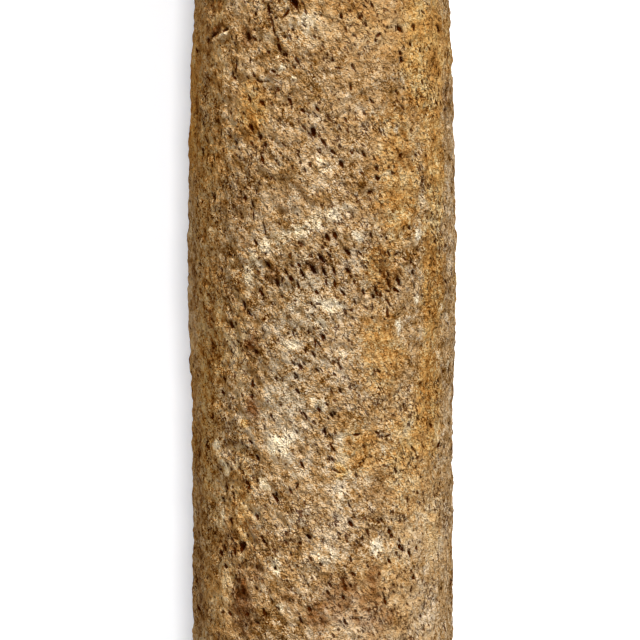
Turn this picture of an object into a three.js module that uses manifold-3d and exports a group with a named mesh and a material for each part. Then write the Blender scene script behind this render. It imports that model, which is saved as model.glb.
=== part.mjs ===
// A stone grain pestle: a socketed stone head on a short wooden haft, locked by four wedges.
// Millimetres, +Z up. The pestle stands on its worn foot, with the origin at the foot's centre.
import * as THREE from 'three';
import { mergeVertices } from 'three/addons/utils/BufferGeometryUtils.js';
import Module from 'manifold-3d';

// Stone head
const STONE_LENGTH = 310;
const FOOT_FLAT_DIAMETER = 56;
const FOOT_ROUND_HEIGHT = 27;
const LOWER_DIAMETER = 92.6;
const LOWER_SHAFT_TOP = 112;
const BELLY_DIAMETER = 95;
const BELLY_CROWN = 0.2;
const BELLY_BOTTOM = 158;
const BELLY_TOP = 212;
const NECK_DIAMETER = 90.5;
const NECK_BELOW_BUTT = 40;
const SHOULDER_DIAMETER = 88;
const BUTT_FLAT_DIAMETER = 62;
const BUTT_ROUND_HEIGHT = 17;

// Hand dressing of the stone: how far its sides swing in and out of round
const OVAL_SWING = 0.35;
const LOBE_SWING = 0.2;
const WAVE_SWING = 0.15;
const WAVE_LENGTH = 74;

// Flakes struck off the two ends, each a shallow scoop, placed by its distance from its own end
const SCOOP_ROUNDING = 11;
const FOOT_FLAKES = [
  { turn: 24, inset: 12, bite: 1.9, width: 52, tall: 44 },
  { turn: 118, inset: 19, bite: 2.5, width: 44, tall: 62 },
  { turn: 205, inset: 10, bite: 1.5, width: 38, tall: 40 },
  { turn: 258, inset: 16, bite: 2.1, width: 60, tall: 50 },
  { turn: 328, inset: 14, bite: 1.3, width: 36, tall: 46 },
];
const BUTT_FLAKES = [
  { turn: 72, inset: 10, bite: 1.6, width: 48, tall: 40 },
  { turn: 214, inset: 8, bite: 1.9, width: 40, tall: 52 },
];

// Socket in the butt, wider at its mouth
const SOCKET_DEPTH = 85;
const SOCKET_MOUTH_DIAMETER = 46;

// Haft
const HAFT_DIAMETER = 36;
const HAFT_GRIP_LENGTH = 220;
const GRIP_STRAIGHT_LENGTH = 34;
const GRIP_WAIST_DIAMETER = 34;
const GRIP_WAIST_HEIGHT = 122;
const POMMEL_DIAMETER = 41;
const POMMEL_LENGTH = 34;
const TENON_CHAMFER = 3;

// Wedges: where each one sits around the haft, and how far its head stands above the butt
const WEDGE_ARC = 44;
const WEDGE_DRIVEN_DEPTH = 52;
const WEDGES = [
  { turn: 14, stand: 7.5 },
  { turn: 101, stand: 6 },
  { turn: 196, stand: 8.5 },
  { turn: 288, stand: 6.8 },
];

// Fits
const SEAT_GAP = 0.3;
const TENON_CLEARANCE = 0.4;
const CUT_OVERRUN = 5;

// Fineness of the round shapes
const STONE_SIDES = 60;
const STONE_RINGS = 50;
const WOOD_SIDES = 36;
const SCOOP_SIDES = 32;
const GRIP_STEPS = 5;

const TURN = 2 * Math.PI;
const SOCKET_FLOOR = STONE_LENGTH - SOCKET_DEPTH;
const HAFT_TOP = STONE_LENGTH + HAFT_GRIP_LENGTH;

const wasm = await Module();
wasm.setup();

function radians(degrees) {
  return THREE.MathUtils.degToRad(degrees);
}

// A closed solid from a closed geometry
function solidOf(geometry) {
  const bare = geometry.clone();
  bare.deleteAttribute('normal');
  bare.deleteAttribute('uv');
  const merged = mergeVertices(bare, 1e-4);
  const mesh = new wasm.Mesh({
    numProp: 3,
    vertProperties: new Float32Array(merged.attributes.position.array),
    triVerts: new Uint32Array(merged.index.array),
  });
  return new wasm.Manifold(mesh);
}

// The geometry of a closed solid
function geometryOf(solid) {
  const mesh = solid.getMesh();
  const geometry = new THREE.BufferGeometry();
  geometry.setAttribute('position', new THREE.BufferAttribute(mesh.vertProperties, 3));
  geometry.setIndex(new THREE.BufferAttribute(mesh.triVerts, 1));
  geometry.computeVertexNormals();
  return geometry;
}

// A profile of radius and height turned about +Z
function turned(points, sides) {
  const geometry = new THREE.LatheGeometry(points, sides);
  geometry.rotateX(Math.PI / 2);
  return geometry;
}

function named(name, geometry, material) {
  const mesh = new THREE.Mesh(geometry, material);
  mesh.name = name;
  return mesh;
}

const stoneFinish = () => new THREE.MeshStandardMaterial({ color: 0xa67f52, roughness: 0.92, metalness: 0 });
const haftFinish = () => new THREE.MeshStandardMaterial({ color: 0x7a5330, roughness: 0.55, metalness: 0 });
const wedgeFinish = () => new THREE.MeshStandardMaterial({ color: 0xb08a58, roughness: 0.75, metalness: 0 });

// The stone's side view, from the middle of the foot to the middle of the butt
function stoneProfile() {
  const foot = FOOT_FLAT_DIAMETER / 2;
  const lower = LOWER_DIAMETER / 2;
  const belly = BELLY_DIAMETER / 2;
  const neck = NECK_DIAMETER / 2;
  const butt = BUTT_FLAT_DIAMETER / 2;
  const shoulder = SHOULDER_DIAMETER / 2;
  const shoulderHeight = STONE_LENGTH - BUTT_ROUND_HEIGHT;
  const outline = new THREE.Path();
  outline.moveTo(foot, 0);
  outline.absellipse(foot, FOOT_ROUND_HEIGHT, lower - foot, FOOT_ROUND_HEIGHT, -Math.PI / 2, 0, false, 0);
  outline.splineThru([
    new THREE.Vector2(lower, (FOOT_ROUND_HEIGHT + LOWER_SHAFT_TOP) / 2),
    new THREE.Vector2(lower, LOWER_SHAFT_TOP),
    new THREE.Vector2(belly - BELLY_CROWN / 2, BELLY_BOTTOM),
    new THREE.Vector2(belly, (BELLY_BOTTOM + BELLY_TOP) / 2),
    new THREE.Vector2(belly - BELLY_CROWN / 2, BELLY_TOP),
    new THREE.Vector2(neck, STONE_LENGTH - NECK_BELOW_BUTT),
    new THREE.Vector2(shoulder, shoulderHeight),
  ]);
  outline.absellipse(butt, shoulderHeight, shoulder - butt, BUTT_ROUND_HEIGHT, 0, Math.PI / 2, false, 0);
  const side = outline.getSpacedPoints(STONE_RINGS);
  return [new THREE.Vector2(0, 0), ...side, new THREE.Vector2(0, STONE_LENGTH)];
}

// How far the hand-dressed side stands out of round at a place on the stone
function dressing(angle, height) {
  const oval = OVAL_SWING * Math.sin(2 * angle);
  const lobes = LOBE_SWING * Math.sin(3 * angle + TURN * height / STONE_LENGTH);
  const waves = WAVE_SWING * Math.sin(TURN * height / WAVE_LENGTH + 2 * Math.sin(angle));
  return oval + lobes + waves;
}

// The dressed stone before anything is cut out of it
function dressedStone() {
  const geometry = turned(stoneProfile(), STONE_SIDES);
  const position = geometry.attributes.position;
  const belly = BELLY_DIAMETER / 2;
  for (let i = 0; i < position.count; i += 1) {
    const x = position.getX(i);
    const y = position.getY(i);
    const swing = 1 + dressing(Math.atan2(y, x), position.getZ(i)) / belly;
    position.setX(i, x * swing);
    position.setY(i, y * swing);
  }
  return solidOf(geometry);
}

// How far the stone's outline stands from its axis at a height
function stoneRadius(height) {
  const points = stoneProfile();
  const above = points.findIndex((point, i) => i > 0 && point.y >= height);
  const low = points[above - 1];
  const high = points[above];
  return THREE.MathUtils.mapLinear(height, low.y, high.y, low.x, high.x);
}

// The scoop that a struck flake leaves in the stone's side
function flakeScoop(height, { turn, bite, width, tall }) {
  const scoop = new THREE.SphereGeometry(1, SCOOP_SIDES, SCOOP_SIDES / 2);
  scoop.scale(SCOOP_ROUNDING, width / 2, tall / 2);
  scoop.translate(stoneRadius(height) + SCOOP_ROUNDING - bite, 0, height);
  scoop.rotateZ(radians(turn));
  return solidOf(scoop);
}

// The socket narrows evenly to the fit of the tenon on its floor
function socketRadius(height) {
  const floor = HAFT_DIAMETER / 2 + TENON_CLEARANCE;
  return THREE.MathUtils.mapLinear(height, SOCKET_FLOOR, STONE_LENGTH, floor, SOCKET_MOUTH_DIAMETER / 2);
}

function socketCut() {
  const above = STONE_LENGTH + CUT_OVERRUN;
  return solidOf(turned([
    new THREE.Vector2(0, SOCKET_FLOOR),
    new THREE.Vector2(socketRadius(SOCKET_FLOOR), SOCKET_FLOOR),
    new THREE.Vector2(socketRadius(above), above),
    new THREE.Vector2(0, above),
  ], WOOD_SIDES));
}

function stoneHead() {
  let stone = dressedStone();
  for (const flake of FOOT_FLAKES) {
    stone = stone.subtract(flakeScoop(flake.inset, flake));
  }
  for (const flake of BUTT_FLAKES) {
    stone = stone.subtract(flakeScoop(STONE_LENGTH - flake.inset, flake));
  }
  return named('stone_head', geometryOf(stone.subtract(socketCut())), stoneFinish());
}

// The haft: a straight tenon, a slightly waisted grip and a rounded pommel
function haft() {
  const shaft = HAFT_DIAMETER / 2;
  const pommel = POMMEL_DIAMETER / 2;
  const tenonEnd = SOCKET_FLOOR + SEAT_GAP;
  const pommelHeight = HAFT_TOP - POMMEL_LENGTH / 2;
  const outline = new THREE.Path();
  outline.moveTo(shaft - TENON_CHAMFER, tenonEnd);
  outline.lineTo(shaft, tenonEnd + TENON_CHAMFER);
  outline.lineTo(shaft, STONE_LENGTH);
  outline.splineThru([
    new THREE.Vector2(shaft, STONE_LENGTH + GRIP_STRAIGHT_LENGTH),
    new THREE.Vector2(GRIP_WAIST_DIAMETER / 2, STONE_LENGTH + GRIP_WAIST_HEIGHT),
    new THREE.Vector2(pommel, pommelHeight),
  ]);
  outline.absellipse(0, pommelHeight, pommel, POMMEL_LENGTH / 2, 0, Math.PI / 2, false, 0);
  const isNew = (point, i, all) => i === 0 || point.distanceTo(all[i - 1]) > 1e-6;
  const side = outline.getPoints(GRIP_STEPS).filter(isNew);
  side[side.length - 1].x = 0;
  return named('haft', turned([new THREE.Vector2(0, tenonEnd), ...side], WOOD_SIDES), haftFinish());
}

// One wedge fills its share of the ring between the tenon and the socket's wall
function socketWedge(index, { turn, stand }) {
  const inside = HAFT_DIAMETER / 2 + SEAT_GAP;
  const tip = STONE_LENGTH - WEDGE_DRIVEN_DEPTH;
  const head = STONE_LENGTH + stand;
  const ring = solidOf(turned([
    new THREE.Vector2(inside, tip),
    new THREE.Vector2(socketRadius(tip) - SEAT_GAP, tip),
    new THREE.Vector2(socketRadius(head) - SEAT_GAP, head),
    new THREE.Vector2(inside, head),
    new THREE.Vector2(inside, tip),
  ], WOOD_SIDES * 2));
  const half = radians(WEDGE_ARC / 2);
  const slice = new THREE.Shape();
  slice.moveTo(0, 0);
  slice.absarc(0, 0, SOCKET_MOUTH_DIAMETER, -half, half, false);
  slice.lineTo(0, 0);
  const depth = head - tip + 2 * CUT_OVERRUN;
  const sector = new THREE.ExtrudeGeometry(slice, { depth, bevelEnabled: false });
  sector.translate(0, 0, tip - CUT_OVERRUN);
  sector.rotateZ(radians(turn));
  return named(`socket_wedge_${index + 1}`, geometryOf(ring.intersect(solidOf(sector))), wedgeFinish());
}

const pestle = new THREE.Group();
pestle.add(stoneHead());
pestle.add(haft());
WEDGES.forEach((wedge, index) => pestle.add(socketWedge(index, wedge)));

export default pestle;
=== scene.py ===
"""A stone grain pestle: its pitted stone, its worn haft and its driven wedges, in a plain studio."""

import logging
import math
import random
from dataclasses import dataclass
from enum import Enum

import bmesh
import bpy
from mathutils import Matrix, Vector, noise
from mathutils.kdtree import KDTree


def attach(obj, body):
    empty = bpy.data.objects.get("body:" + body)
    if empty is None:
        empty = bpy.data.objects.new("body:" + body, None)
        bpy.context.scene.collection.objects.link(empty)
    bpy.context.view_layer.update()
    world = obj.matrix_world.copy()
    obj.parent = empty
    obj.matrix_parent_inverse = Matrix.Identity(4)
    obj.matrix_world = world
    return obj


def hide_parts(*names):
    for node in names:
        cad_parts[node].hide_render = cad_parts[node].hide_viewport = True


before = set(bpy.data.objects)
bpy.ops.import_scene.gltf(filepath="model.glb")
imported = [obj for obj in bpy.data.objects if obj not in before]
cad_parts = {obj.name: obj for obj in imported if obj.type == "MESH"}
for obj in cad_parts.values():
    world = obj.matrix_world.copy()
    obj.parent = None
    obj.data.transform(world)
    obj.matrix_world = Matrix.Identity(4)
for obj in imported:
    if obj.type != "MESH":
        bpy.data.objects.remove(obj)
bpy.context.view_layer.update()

log = logging.getLogger("pestle")

MM = 0.001
FULL_TURN = 2 * math.pi

# The scale at which the wave pattern has one ring to the metre
WAVES_TO_A_UNIT = 0.314

WHITE = (1.0, 1.0, 1.0)

# The lamps' tints, a cool key and warm shade that are about neutral together
COOL = (0.96, 1.0, 1.09)
WARM = (1.4, 1.0, 0.38)

Colour = tuple[float, float, float, float]
Ramp = tuple[tuple[float, str], ...]
Triple = tuple[float, float, float]
Socket = bpy.types.NodeSocket


class Body(str, Enum):
    """The two bodies that the pestle's pieces ride on."""

    HEAD = "head"
    HANDLE = "handle"


class Slot(str, Enum):
    """The record's material slots."""

    STONE = "ochre_stone"
    HAFT = "haft_wood"
    WEDGE = "wedge_wood"


class Tint(str, Enum):
    """The vertex attributes that carry the stone's local colour and roughness."""

    BLOOM = "bloom"
    PALE = "pale"
    GREY = "grey"
    # Brown stains, and painted shade along the stone's left edge
    STAIN_AND_SHADE = "stain_and_shade"
    GOLD = "gold"
    ROUGH = "rough"
    CALM = "calm"


class Blend(str, Enum):
    """How one colour lies over another."""

    COVER = "MIX"
    DARKEN = "MULTIPLY"


# The attribute of the faces' corners that carries their place in the nearest hollow
HOLLOW = "hollow"

# The attributes of the wood's vertices that carry its wear and its stone dust
WEAR = "wear"
DUST = "dust"


def shade(code: str) -> Colour:
    """Turn a six-digit screen colour into the linear colour that a shader takes.

    Args:
        code: Red, green and blue as two hexadecimal digits each.

    Returns:
        The linear colour, opaque.
    """
    parts = [int(code[i:i + 2], 16) / 255 for i in (0, 2, 4)]
    linear = [p / 12.92 if p <= 0.04045 else ((p + 0.055) / 1.055) ** 2.4 for p in parts]
    return (*linear, 1.0)


def smooth(value: float) -> float:
    """Ease a value from 0 to 1 with flat ends."""
    t = min(max(value, 0.0), 1.0)
    return t * t * (3 - 2 * t)


def clouds(point: Vector, fade: float, step: float, layers: int = 3) -> float:
    """Noise about 0 in layers, each finer than the last by the step and weaker by the fade."""
    return noise.fractal(point, fade, step, layers)


@dataclass(frozen=True)
class PhotoWindow:
    """Where the photograph's square frame lies on the standing pestle."""

    side: float = 640.0
    stone_width: float = 266.0
    stone_diameter: float = 95 * MM
    axis_column: float = 322.3
    bottom_height: float = 40 * MM
    distance: float = 1.6
    rim: float = 0.995
    rounds: int = 4

    @property
    def scale(self) -> float:
        """Metres to a pixel, at the stone's axis."""
        return self.stone_diameter / self.stone_width

    @property
    def middle_height(self) -> float:
        """The height that the camera looks at."""
        return self.bottom_height + self.side * self.scale / 2

    def place(self, column: float, row: float) -> tuple[float, float]:
        """Find the place on the stone that shows at a pixel.

        Args:
            column: Pixels from the frame's left edge.
            row: Pixels from the frame's top edge.

        Returns:
            The turn from the front, to the right, in radians, and the height in metres.
        """
        radius = self.stone_diameter / 2
        aside = (column - self.axis_column) * self.scale
        above = (self.side / 2 - row) * self.scale
        turn = 0.0
        shrink = 1.0
        for _ in range(self.rounds):
            shrink = 1 - radius * math.cos(turn) / self.distance
            turn = math.asin(min(max(aside * shrink / radius, -self.rim), self.rim))
        return turn, self.middle_height + above * shrink


PHOTO = PhotoWindow()


@dataclass(frozen=True)
class Mark:
    """A hollow in the stone, placed by the pixel of its middle and sized in millimetres.

    lean is degrees from upright, positive where the top leans left.
    """

    column: float
    row: float
    length: float
    width: float
    lean: float
    depth: float


@dataclass(frozen=True)
class Patch:
    """A patch of colour, roughness or relief on the stone, placed and sized as a mark is."""

    column: float
    row: float
    length: float
    width: float
    lean: float
    strength: float


@dataclass(frozen=True)
class Sprinkle:
    """Patches where the photograph doesn't reach: their number, lengths in millimetres and strengths."""

    count: int
    small: float
    large: float
    weak: float
    strong: float


# Gouges, slits and deep pits of the upper stone
UPPER_MARKS = (
    Mark(293, 2, 5.6, 3.4, 30, 1.7), Mark(285, 12, 4.0, 1.5, -25, 1.0), Mark(267, 10, 4.6, 1.5, 8, 1.0),
    Mark(271, 23, 6.0, 1.0, 14, 0.7), Mark(246, 36, 3.4, 2.8, 10, 1.3), Mark(211, 35, 3.8, 1.7, -66, 1.0),
    Mark(205, 40, 2.2, 1.5, 0, 0.9), Mark(222, 30, 3.2, 1.2, -60, 0.7), Mark(273, 31, 3.6, 1.1, 20, 0.8),
    Mark(277, 39, 2.4, 1.2, 14, 0.8), Mark(278, 47, 3.4, 1.7, 18, 1.0), Mark(285, 54, 2.2, 1.6, 30, 0.9),
    Mark(296, 60, 2.8, 1.6, 30, 0.8), Mark(289, 37, 2.2, 1.0, 20, 0.7), Mark(249, 61, 2.0, 1.0, 5, 0.6),
    Mark(231, 74, 2.8, 1.1, 6, 0.8), Mark(235, 66, 4.8, 1.1, -6, 0.8), Mark(233, 78, 1.6, 1.3, 40, 0.9),
    Mark(252, 75, 2.4, 1.2, 20, 0.8), Mark(258, 81, 3.4, 1.2, 75, 0.7), Mark(266, 81, 2.2, 1.0, 100, 0.6),
    Mark(277, 89, 2.6, 1.6, 30, 0.7), Mark(289, 101, 3.4, 1.7, 22, 1.1), Mark(248, 99, 2.8, 1.3, 25, 0.8),
    Mark(317, 109, 2.6, 1.4, 30, 0.9), Mark(313, 132, 3.8, 2.6, 12, 1.4), Mark(323, 142, 2.8, 1.4, 35, 0.9),
    Mark(333, 152, 2.6, 1.4, 55, 0.8), Mark(364, 154, 2.4, 1.3, 20, 0.8), Mark(259, 137, 2.4, 2.3, 20, 0.8),
    Mark(263, 160, 3.8, 1.4, 18, 1.0), Mark(263, 148, 2.4, 0.9, 2, 0.7), Mark(221, 133, 2.6, 1.0, 8, 0.8),
    Mark(214, 157, 3.0, 1.0, 12, 0.8), Mark(201, 203, 2.8, 0.9, 6, 0.8), Mark(213, 185, 2.6, 0.9, 10, 0.8),
    Mark(246, 198, 2.6, 1.6, 20, 1.0), Mark(256, 192, 2.4, 1.2, 20, 0.8), Mark(253, 209, 8.6, 1.0, 6, 1.0),
    Mark(260, 184, 2.2, 1.0, 50, 0.7), Mark(342, 16, 2.4, 1.4, 10, 0.9), Mark(361, 17, 2.2, 1.4, 25, 0.9),
    Mark(367, 24, 1.8, 1.2, 30, 0.7), Mark(374, 4, 2.2, 1.0, 20, 0.8), Mark(419, 3, 2.4, 1.2, 25, 0.8),
    Mark(380, 35, 2.4, 1.6, -60, 0.8), Mark(399, 28, 1.8, 1.0, 0, 0.7), Mark(414, 44, 2.2, 1.4, 20, 1.0),
    Mark(406, 48, 1.8, 1.2, 20, 0.7), Mark(354, 67, 2.8, 1.6, 30, 0.7), Mark(338, 68, 2.2, 0.9, 80, 0.6),
    Mark(351, 87, 2.6, 1.1, 10, 0.8), Mark(399, 92, 2.2, 1.0, 15, 0.7), Mark(373, 101, 2.4, 1.2, 40, 0.8),
    Mark(437, 102, 2.2, 1.0, 5, 0.9), Mark(404, 108, 2.8, 1.0, 55, 0.7), Mark(419, 104, 1.8, 0.9, 15, 0.6),
    Mark(381, 130, 2.2, 1.1, 20, 0.7), Mark(346, 120, 2.2, 1.1, 25, 0.7), Mark(420, 168, 2.2, 1.0, 18, 0.6),
    Mark(298, 155, 2.2, 1.1, 25, 0.7), Mark(305, 170, 2.0, 1.1, 20, 0.6),
)

# Strokes of the mason's pick across the middle of the stone
PICK_MARKS = (
    Mark(256, 242, 2.8, 1.3, 30, 0.8), Mark(265, 229, 5.8, 0.9, 8, 0.7), Mark(301, 244, 2.4, 2.0, 50, 0.6),
    Mark(327, 237, 2.8, 1.7, 30, 1.1), Mark(335, 235, 3.0, 2.4, 15, 1.1), Mark(348, 252, 3.4, 1.8, 38, 1.3),
    Mark(360, 253, 2.4, 1.0, 45, 0.7), Mark(268, 265, 2.8, 1.7, 20, 1.0), Mark(299, 265, 2.6, 1.5, 40, 0.9),
    Mark(286, 272, 2.4, 1.3, 25, 0.8), Mark(302, 273, 3.8, 1.5, 25, 1.1), Mark(313, 270, 4.6, 2.2, 32, 1.4),
    Mark(322, 259, 5.0, 1.8, 40, 1.3), Mark(329, 255, 3.0, 1.2, 35, 0.8), Mark(324, 272, 3.6, 1.4, 22, 1.0),
    Mark(334, 271, 3.4, 1.3, 22, 0.9), Mark(335, 284, 3.6, 1.1, 8, 0.9), Mark(326, 282, 2.4, 1.1, 10, 0.8),
    Mark(348, 270, 3.2, 1.7, 35, 1.2), Mark(351, 276, 2.6, 1.0, 15, 0.8), Mark(277, 283, 2.8, 1.9, 10, 1.0),
    Mark(282, 280, 2.4, 1.1, -12, 0.7), Mark(261, 293, 3.6, 1.8, 35, 1.0),
    Mark(258, 272, 2.0, 1.0, 20, 0.6), Mark(298, 285, 3.4, 1.0, 12, 0.7), Mark(343, 293, 3.0, 1.2, 38, 0.9),
    Mark(364, 292, 2.6, 1.6, 15, 0.9), Mark(373, 307, 3.0, 1.2, 5, 0.7), Mark(377, 291, 4.2, 1.5, 20, 1.2),
    Mark(379, 283, 1.8, 1.0, 70, 0.7), Mark(389, 275, 2.4, 1.2, 15, 0.9), Mark(389, 282, 3.2, 1.2, 20, 1.0),
    Mark(399, 281, 4.2, 1.4, 24, 1.2), Mark(396, 290, 2.8, 1.7, 55, 1.1), Mark(388, 291, 2.6, 1.2, 75, 0.8),
    Mark(413, 272, 2.0, 1.5, 30, 1.0), Mark(411, 261, 2.2, 1.2, 25, 0.8), Mark(405, 260, 2.0, 1.1, 40, 0.6),
    Mark(389, 253, 2.6, 1.2, 25, 0.9), Mark(397, 254, 2.2, 1.2, -50, 0.7),
    Mark(414, 286, 1.8, 0.8, 10, 0.7), Mark(389, 302, 3.6, 1.1, 25, 0.8), Mark(388, 313, 4.4, 1.0, 2, 0.8),
    Mark(371, 235, 2.0, 1.3, 20, 0.7), Mark(318, 304, 2.6, 1.4, 80, 0.6), Mark(345, 312, 2.6, 1.4, 20, 0.6),
    Mark(355, 302, 2.4, 1.0, 30, 0.6), Mark(244, 305, 3.8, 1.3, 12, 1.0), Mark(249, 313, 3.2, 1.2, 35, 1.0),
    Mark(434, 261, 1.6, 1.0, 10, 0.7), Mark(418, 250, 1.8, 0.9, 35, 0.6),
)

# Pits, cracks and hollows of the lower stone
LOWER_MARKS = (
    Mark(308, 332, 2.0, 1.2, 0, 0.7), Mark(293, 334, 3.0, 0.9, 20, 0.8), Mark(315, 344, 3.4, 0.9, 5, 0.8),
    Mark(313, 354, 2.8, 1.3, 30, 0.9), Mark(300, 367, 2.8, 2.0, 40, 0.8), Mark(334, 362, 2.0, 1.1, 55, 0.7),
    Mark(296, 376, 2.6, 1.2, 25, 0.8), Mark(297, 391, 2.4, 1.3, 30, 0.8), Mark(252, 384, 3.0, 1.2, 8, 0.9),
    Mark(332, 392, 3.0, 0.8, 25, 0.6), Mark(271, 416, 2.2, 1.2, 20, 0.7), Mark(305, 416, 3.6, 1.1, 28, 0.9),
    Mark(301, 413, 2.4, 1.0, 30, 0.7), Mark(332, 415, 2.4, 1.4, 35, 0.8), Mark(380, 371, 2.0, 1.3, 40, 0.7),
    Mark(358, 435, 3.0, 1.3, 95, 0.9), Mark(379, 433, 2.6, 1.1, 60, 0.8),
    Mark(389, 436, 3.0, 1.1, 110, 0.8), Mark(325, 432, 3.4, 1.2, 8, 0.9), Mark(333, 448, 3.8, 1.1, 32, 1.0),
    Mark(301, 464, 3.4, 1.3, 25, 1.0), Mark(330, 459, 1.8, 1.2, 20, 0.7), Mark(336, 471, 3.0, 1.2, 60, 0.7),
    Mark(387, 466, 2.8, 1.2, 80, 0.6), Mark(224, 487, 4.2, 1.4, 18, 1.1), Mark(247, 485, 4.2, 1.8, 32, 1.2),
    Mark(232, 496, 3.0, 1.2, 20, 0.9), Mark(213, 507, 3.0, 1.2, 18, 0.9), Mark(206, 506, 4.0, 1.2, 8, 0.8),
    Mark(206, 443, 4.0, 1.4, 10, 0.8), Mark(250, 442, 2.6, 1.1, 45, 0.8), Mark(256, 458, 3.0, 1.5, 35, 0.8),
    Mark(274, 499, 4.2, 1.6, 35, 1.0), Mark(296, 486, 2.4, 1.2, -10, 0.8),
    Mark(290, 491, 2.6, 1.0, 30, 0.8), Mark(308, 537, 2.6, 1.8, 50, 1.0), Mark(255, 517, 2.6, 1.8, 30, 0.8),
    Mark(262, 540, 4.2, 1.2, 28, 0.9), Mark(285, 534, 2.2, 1.0, 20, 0.7), Mark(369, 532, 2.4, 1.4, 20, 0.8),
    Mark(274, 568, 1.8, 1.4, 0, 1.2), Mark(264, 613, 3.0, 1.4, 20, 0.9), Mark(388, 601, 4.0, 1.2, 15, 1.0),
    Mark(233, 552, 3.6, 1.5, 15, 0.9), Mark(222, 548, 3.0, 1.2, 12, 0.8), Mark(441, 380, 2.0, 1.0, 5, 0.9),
    Mark(425, 445, 2.6, 1.0, 12, 0.7), Mark(410, 500, 2.4, 1.1, 20, 0.7), Mark(350, 505, 2.2, 1.1, 25, 0.7),
    Mark(330, 585, 2.4, 1.2, 30, 0.8), Mark(352, 560, 2.2, 1.1, 15, 0.7), Mark(300, 620, 2.8, 1.3, 25, 0.8),
    Mark(345, 622, 2.6, 1.2, 20, 0.8), Mark(415, 590, 2.4, 1.1, 15, 0.7), Mark(243, 590, 2.8, 1.3, 20, 0.8),
)

# Pale lime bloom
BLOOM_PATCHES = (
    Patch(219, 36, 15, 2.2, -71, 0.9), Patch(277, 445, 11, 9, 40, 1.15), Patch(287, 438, 8, 5, 15, 0.9),
    Patch(216, 444, 6, 4, 60, 1.35), Patch(225, 468, 7, 3.4, 22, 1.35), Patch(262, 484, 8, 4.2, 48, 1.15),
    Patch(222, 516, 7, 3, 25, 1.1), Patch(275, 567, 7, 3.6, 10, 1.5), Patch(379, 547, 9, 7, 30, 0.9),
    Patch(318, 557, 10, 8, 30, 0.6), Patch(332, 556, 8, 6, 30, 0.7), Patch(279, 607, 4, 3, 20, 0.8),
    Patch(217, 573, 5, 2.4, 20, 0.7), Patch(248, 274, 10, 7, -8, 0.8), Patch(255, 257, 10, 7, -25, 0.78),
    Patch(266, 246, 10, 7, -50, 0.82), Patch(280, 239, 11, 7.5, -62, 0.82),
    Patch(298, 231, 11, 8, -62, 0.8), Patch(314, 222, 12, 8, -60, 0.82), Patch(331, 214, 12, 7, -70, 0.78),
    Patch(348, 206, 9, 5, -60, 0.6), Patch(357, 237, 7, 5, 40, 0.8), Patch(417, 232, 9, 4, 15, 0.9),
    Patch(304, 259, 5, 4, 30, 0.8), Patch(330, 304, 14, 8, 80, 0.9), Patch(321, 325, 8, 6, 20, 0.8),
    Patch(292, 345, 8, 5, 90, 0.9), Patch(340, 354, 7, 5, 30, 0.6), Patch(318, 405, 8, 6, 60, 0.95),
    Patch(400, 326, 8, 5, 10, 0.8), Patch(417, 300, 6, 4, 10, 0.8), Patch(441, 307, 4, 3, 10, 0.8),
    Patch(440, 358, 14, 5, 5, 0.5), Patch(293, 79, 3.2, 2.2, 40, 1.0), Patch(281, 68, 6, 2.4, -35, 0.9),
    Patch(272, 66, 4, 2, 50, 0.7), Patch(359, 45, 2.2, 1.6, 0, 1.0), Patch(404, 59, 2.2, 2.0, 0, 1.0),
    Patch(276, 57, 2.4, 1.8, 0, 0.8), Patch(304, 22, 9, 8, 20, 0.85), Patch(290, 24, 4, 3, 20, 0.6),
    Patch(397, 130, 4, 3, 0, 0.9), Patch(322, 166, 10, 7, 30, 0.7), Patch(280, 165, 8, 6, 30, 0.4),
    Patch(214, 300, 9, 4, 10, 0.45), Patch(262, 350, 8, 5, 20, 0.4), Patch(300, 470, 12, 9, 20, 0.45),
    Patch(342, 438, 7, 5, 30, 0.6), Patch(340, 500, 12, 9, 20, 0.5), Patch(386, 448, 5, 4, 0, 0.6),
)

# Broad pale zones
PALE_PATCHES = (
    Patch(306, 28, 20, 20, 0, 1.0), Patch(320, 168, 22, 16, 20, 0.9), Patch(330, 218, 30, 10, -65, 0.6),
    Patch(350, 260, 24, 10, 0, 0.3), Patch(328, 312, 26, 18, 0, 0.9), Patch(290, 350, 20, 14, 0, 0.6),
    Patch(280, 300, 20, 8, -30, 0.6), Patch(285, 410, 50, 24, 0, 0.9), Patch(277, 450, 26, 18, 20, 1.0),
    Patch(266, 482, 16, 12, 30, 0.9), Patch(342, 365, 30, 16, 0, 0.6), Patch(335, 500, 44, 28, 0, 0.9),
    Patch(330, 552, 16, 16, 0, 0.6), Patch(222, 458, 18, 8, 10, 0.8), Patch(236, 500, 20, 8, 0, 0.4),
    Patch(427, 80, 34, 12, 0, 0.8), Patch(436, 195, 26, 10, 0, 0.7), Patch(437, 560, 60, 14, 0, 1.0),
    Patch(430, 615, 30, 26, 0, 1.0), Patch(408, 520, 60, 20, 0, 0.8), Patch(408, 435, 24, 20, 0, 0.8),
    Patch(225, 560, 40, 12, 0, 0.5), Patch(215, 615, 20, 12, 0, 0.6), Patch(238, 362, 34, 11, 0, 1.0),
    Patch(240, 432, 30, 11, 0, 0.8), Patch(204, 440, 26, 8, 0, 0.5), Patch(258, 250, 30, 14, 0, 0.5),
    Patch(270, 330, 30, 14, 0, 0.6), Patch(345, 340, 26, 18, 0, 0.7), Patch(300, 445, 30, 20, 0, 0.7),
    Patch(345, 262, 20, 16, 0, 0.5), Patch(436, 205, 30, 12, 0, 0.7),
)

# Grey weathering
GREY_PATCHES = (
    Patch(300, 300, 60, 26, 0, 0.5), Patch(285, 400, 50, 22, 10, 0.55), Patch(290, 195, 34, 20, 20, 0.5),
    Patch(320, 90, 60, 24, 10, 0.35), Patch(345, 30, 20, 14, 30, 0.4), Patch(273, 74, 5, 3, 0, 0.9),
    Patch(330, 284, 6, 4, 10, 0.8), Patch(255, 280, 26, 14, 10, 0.4), Patch(300, 520, 30, 16, 20, 0.4),
    Patch(256, 517, 14, 8, 30, 0.5),
)

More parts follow.
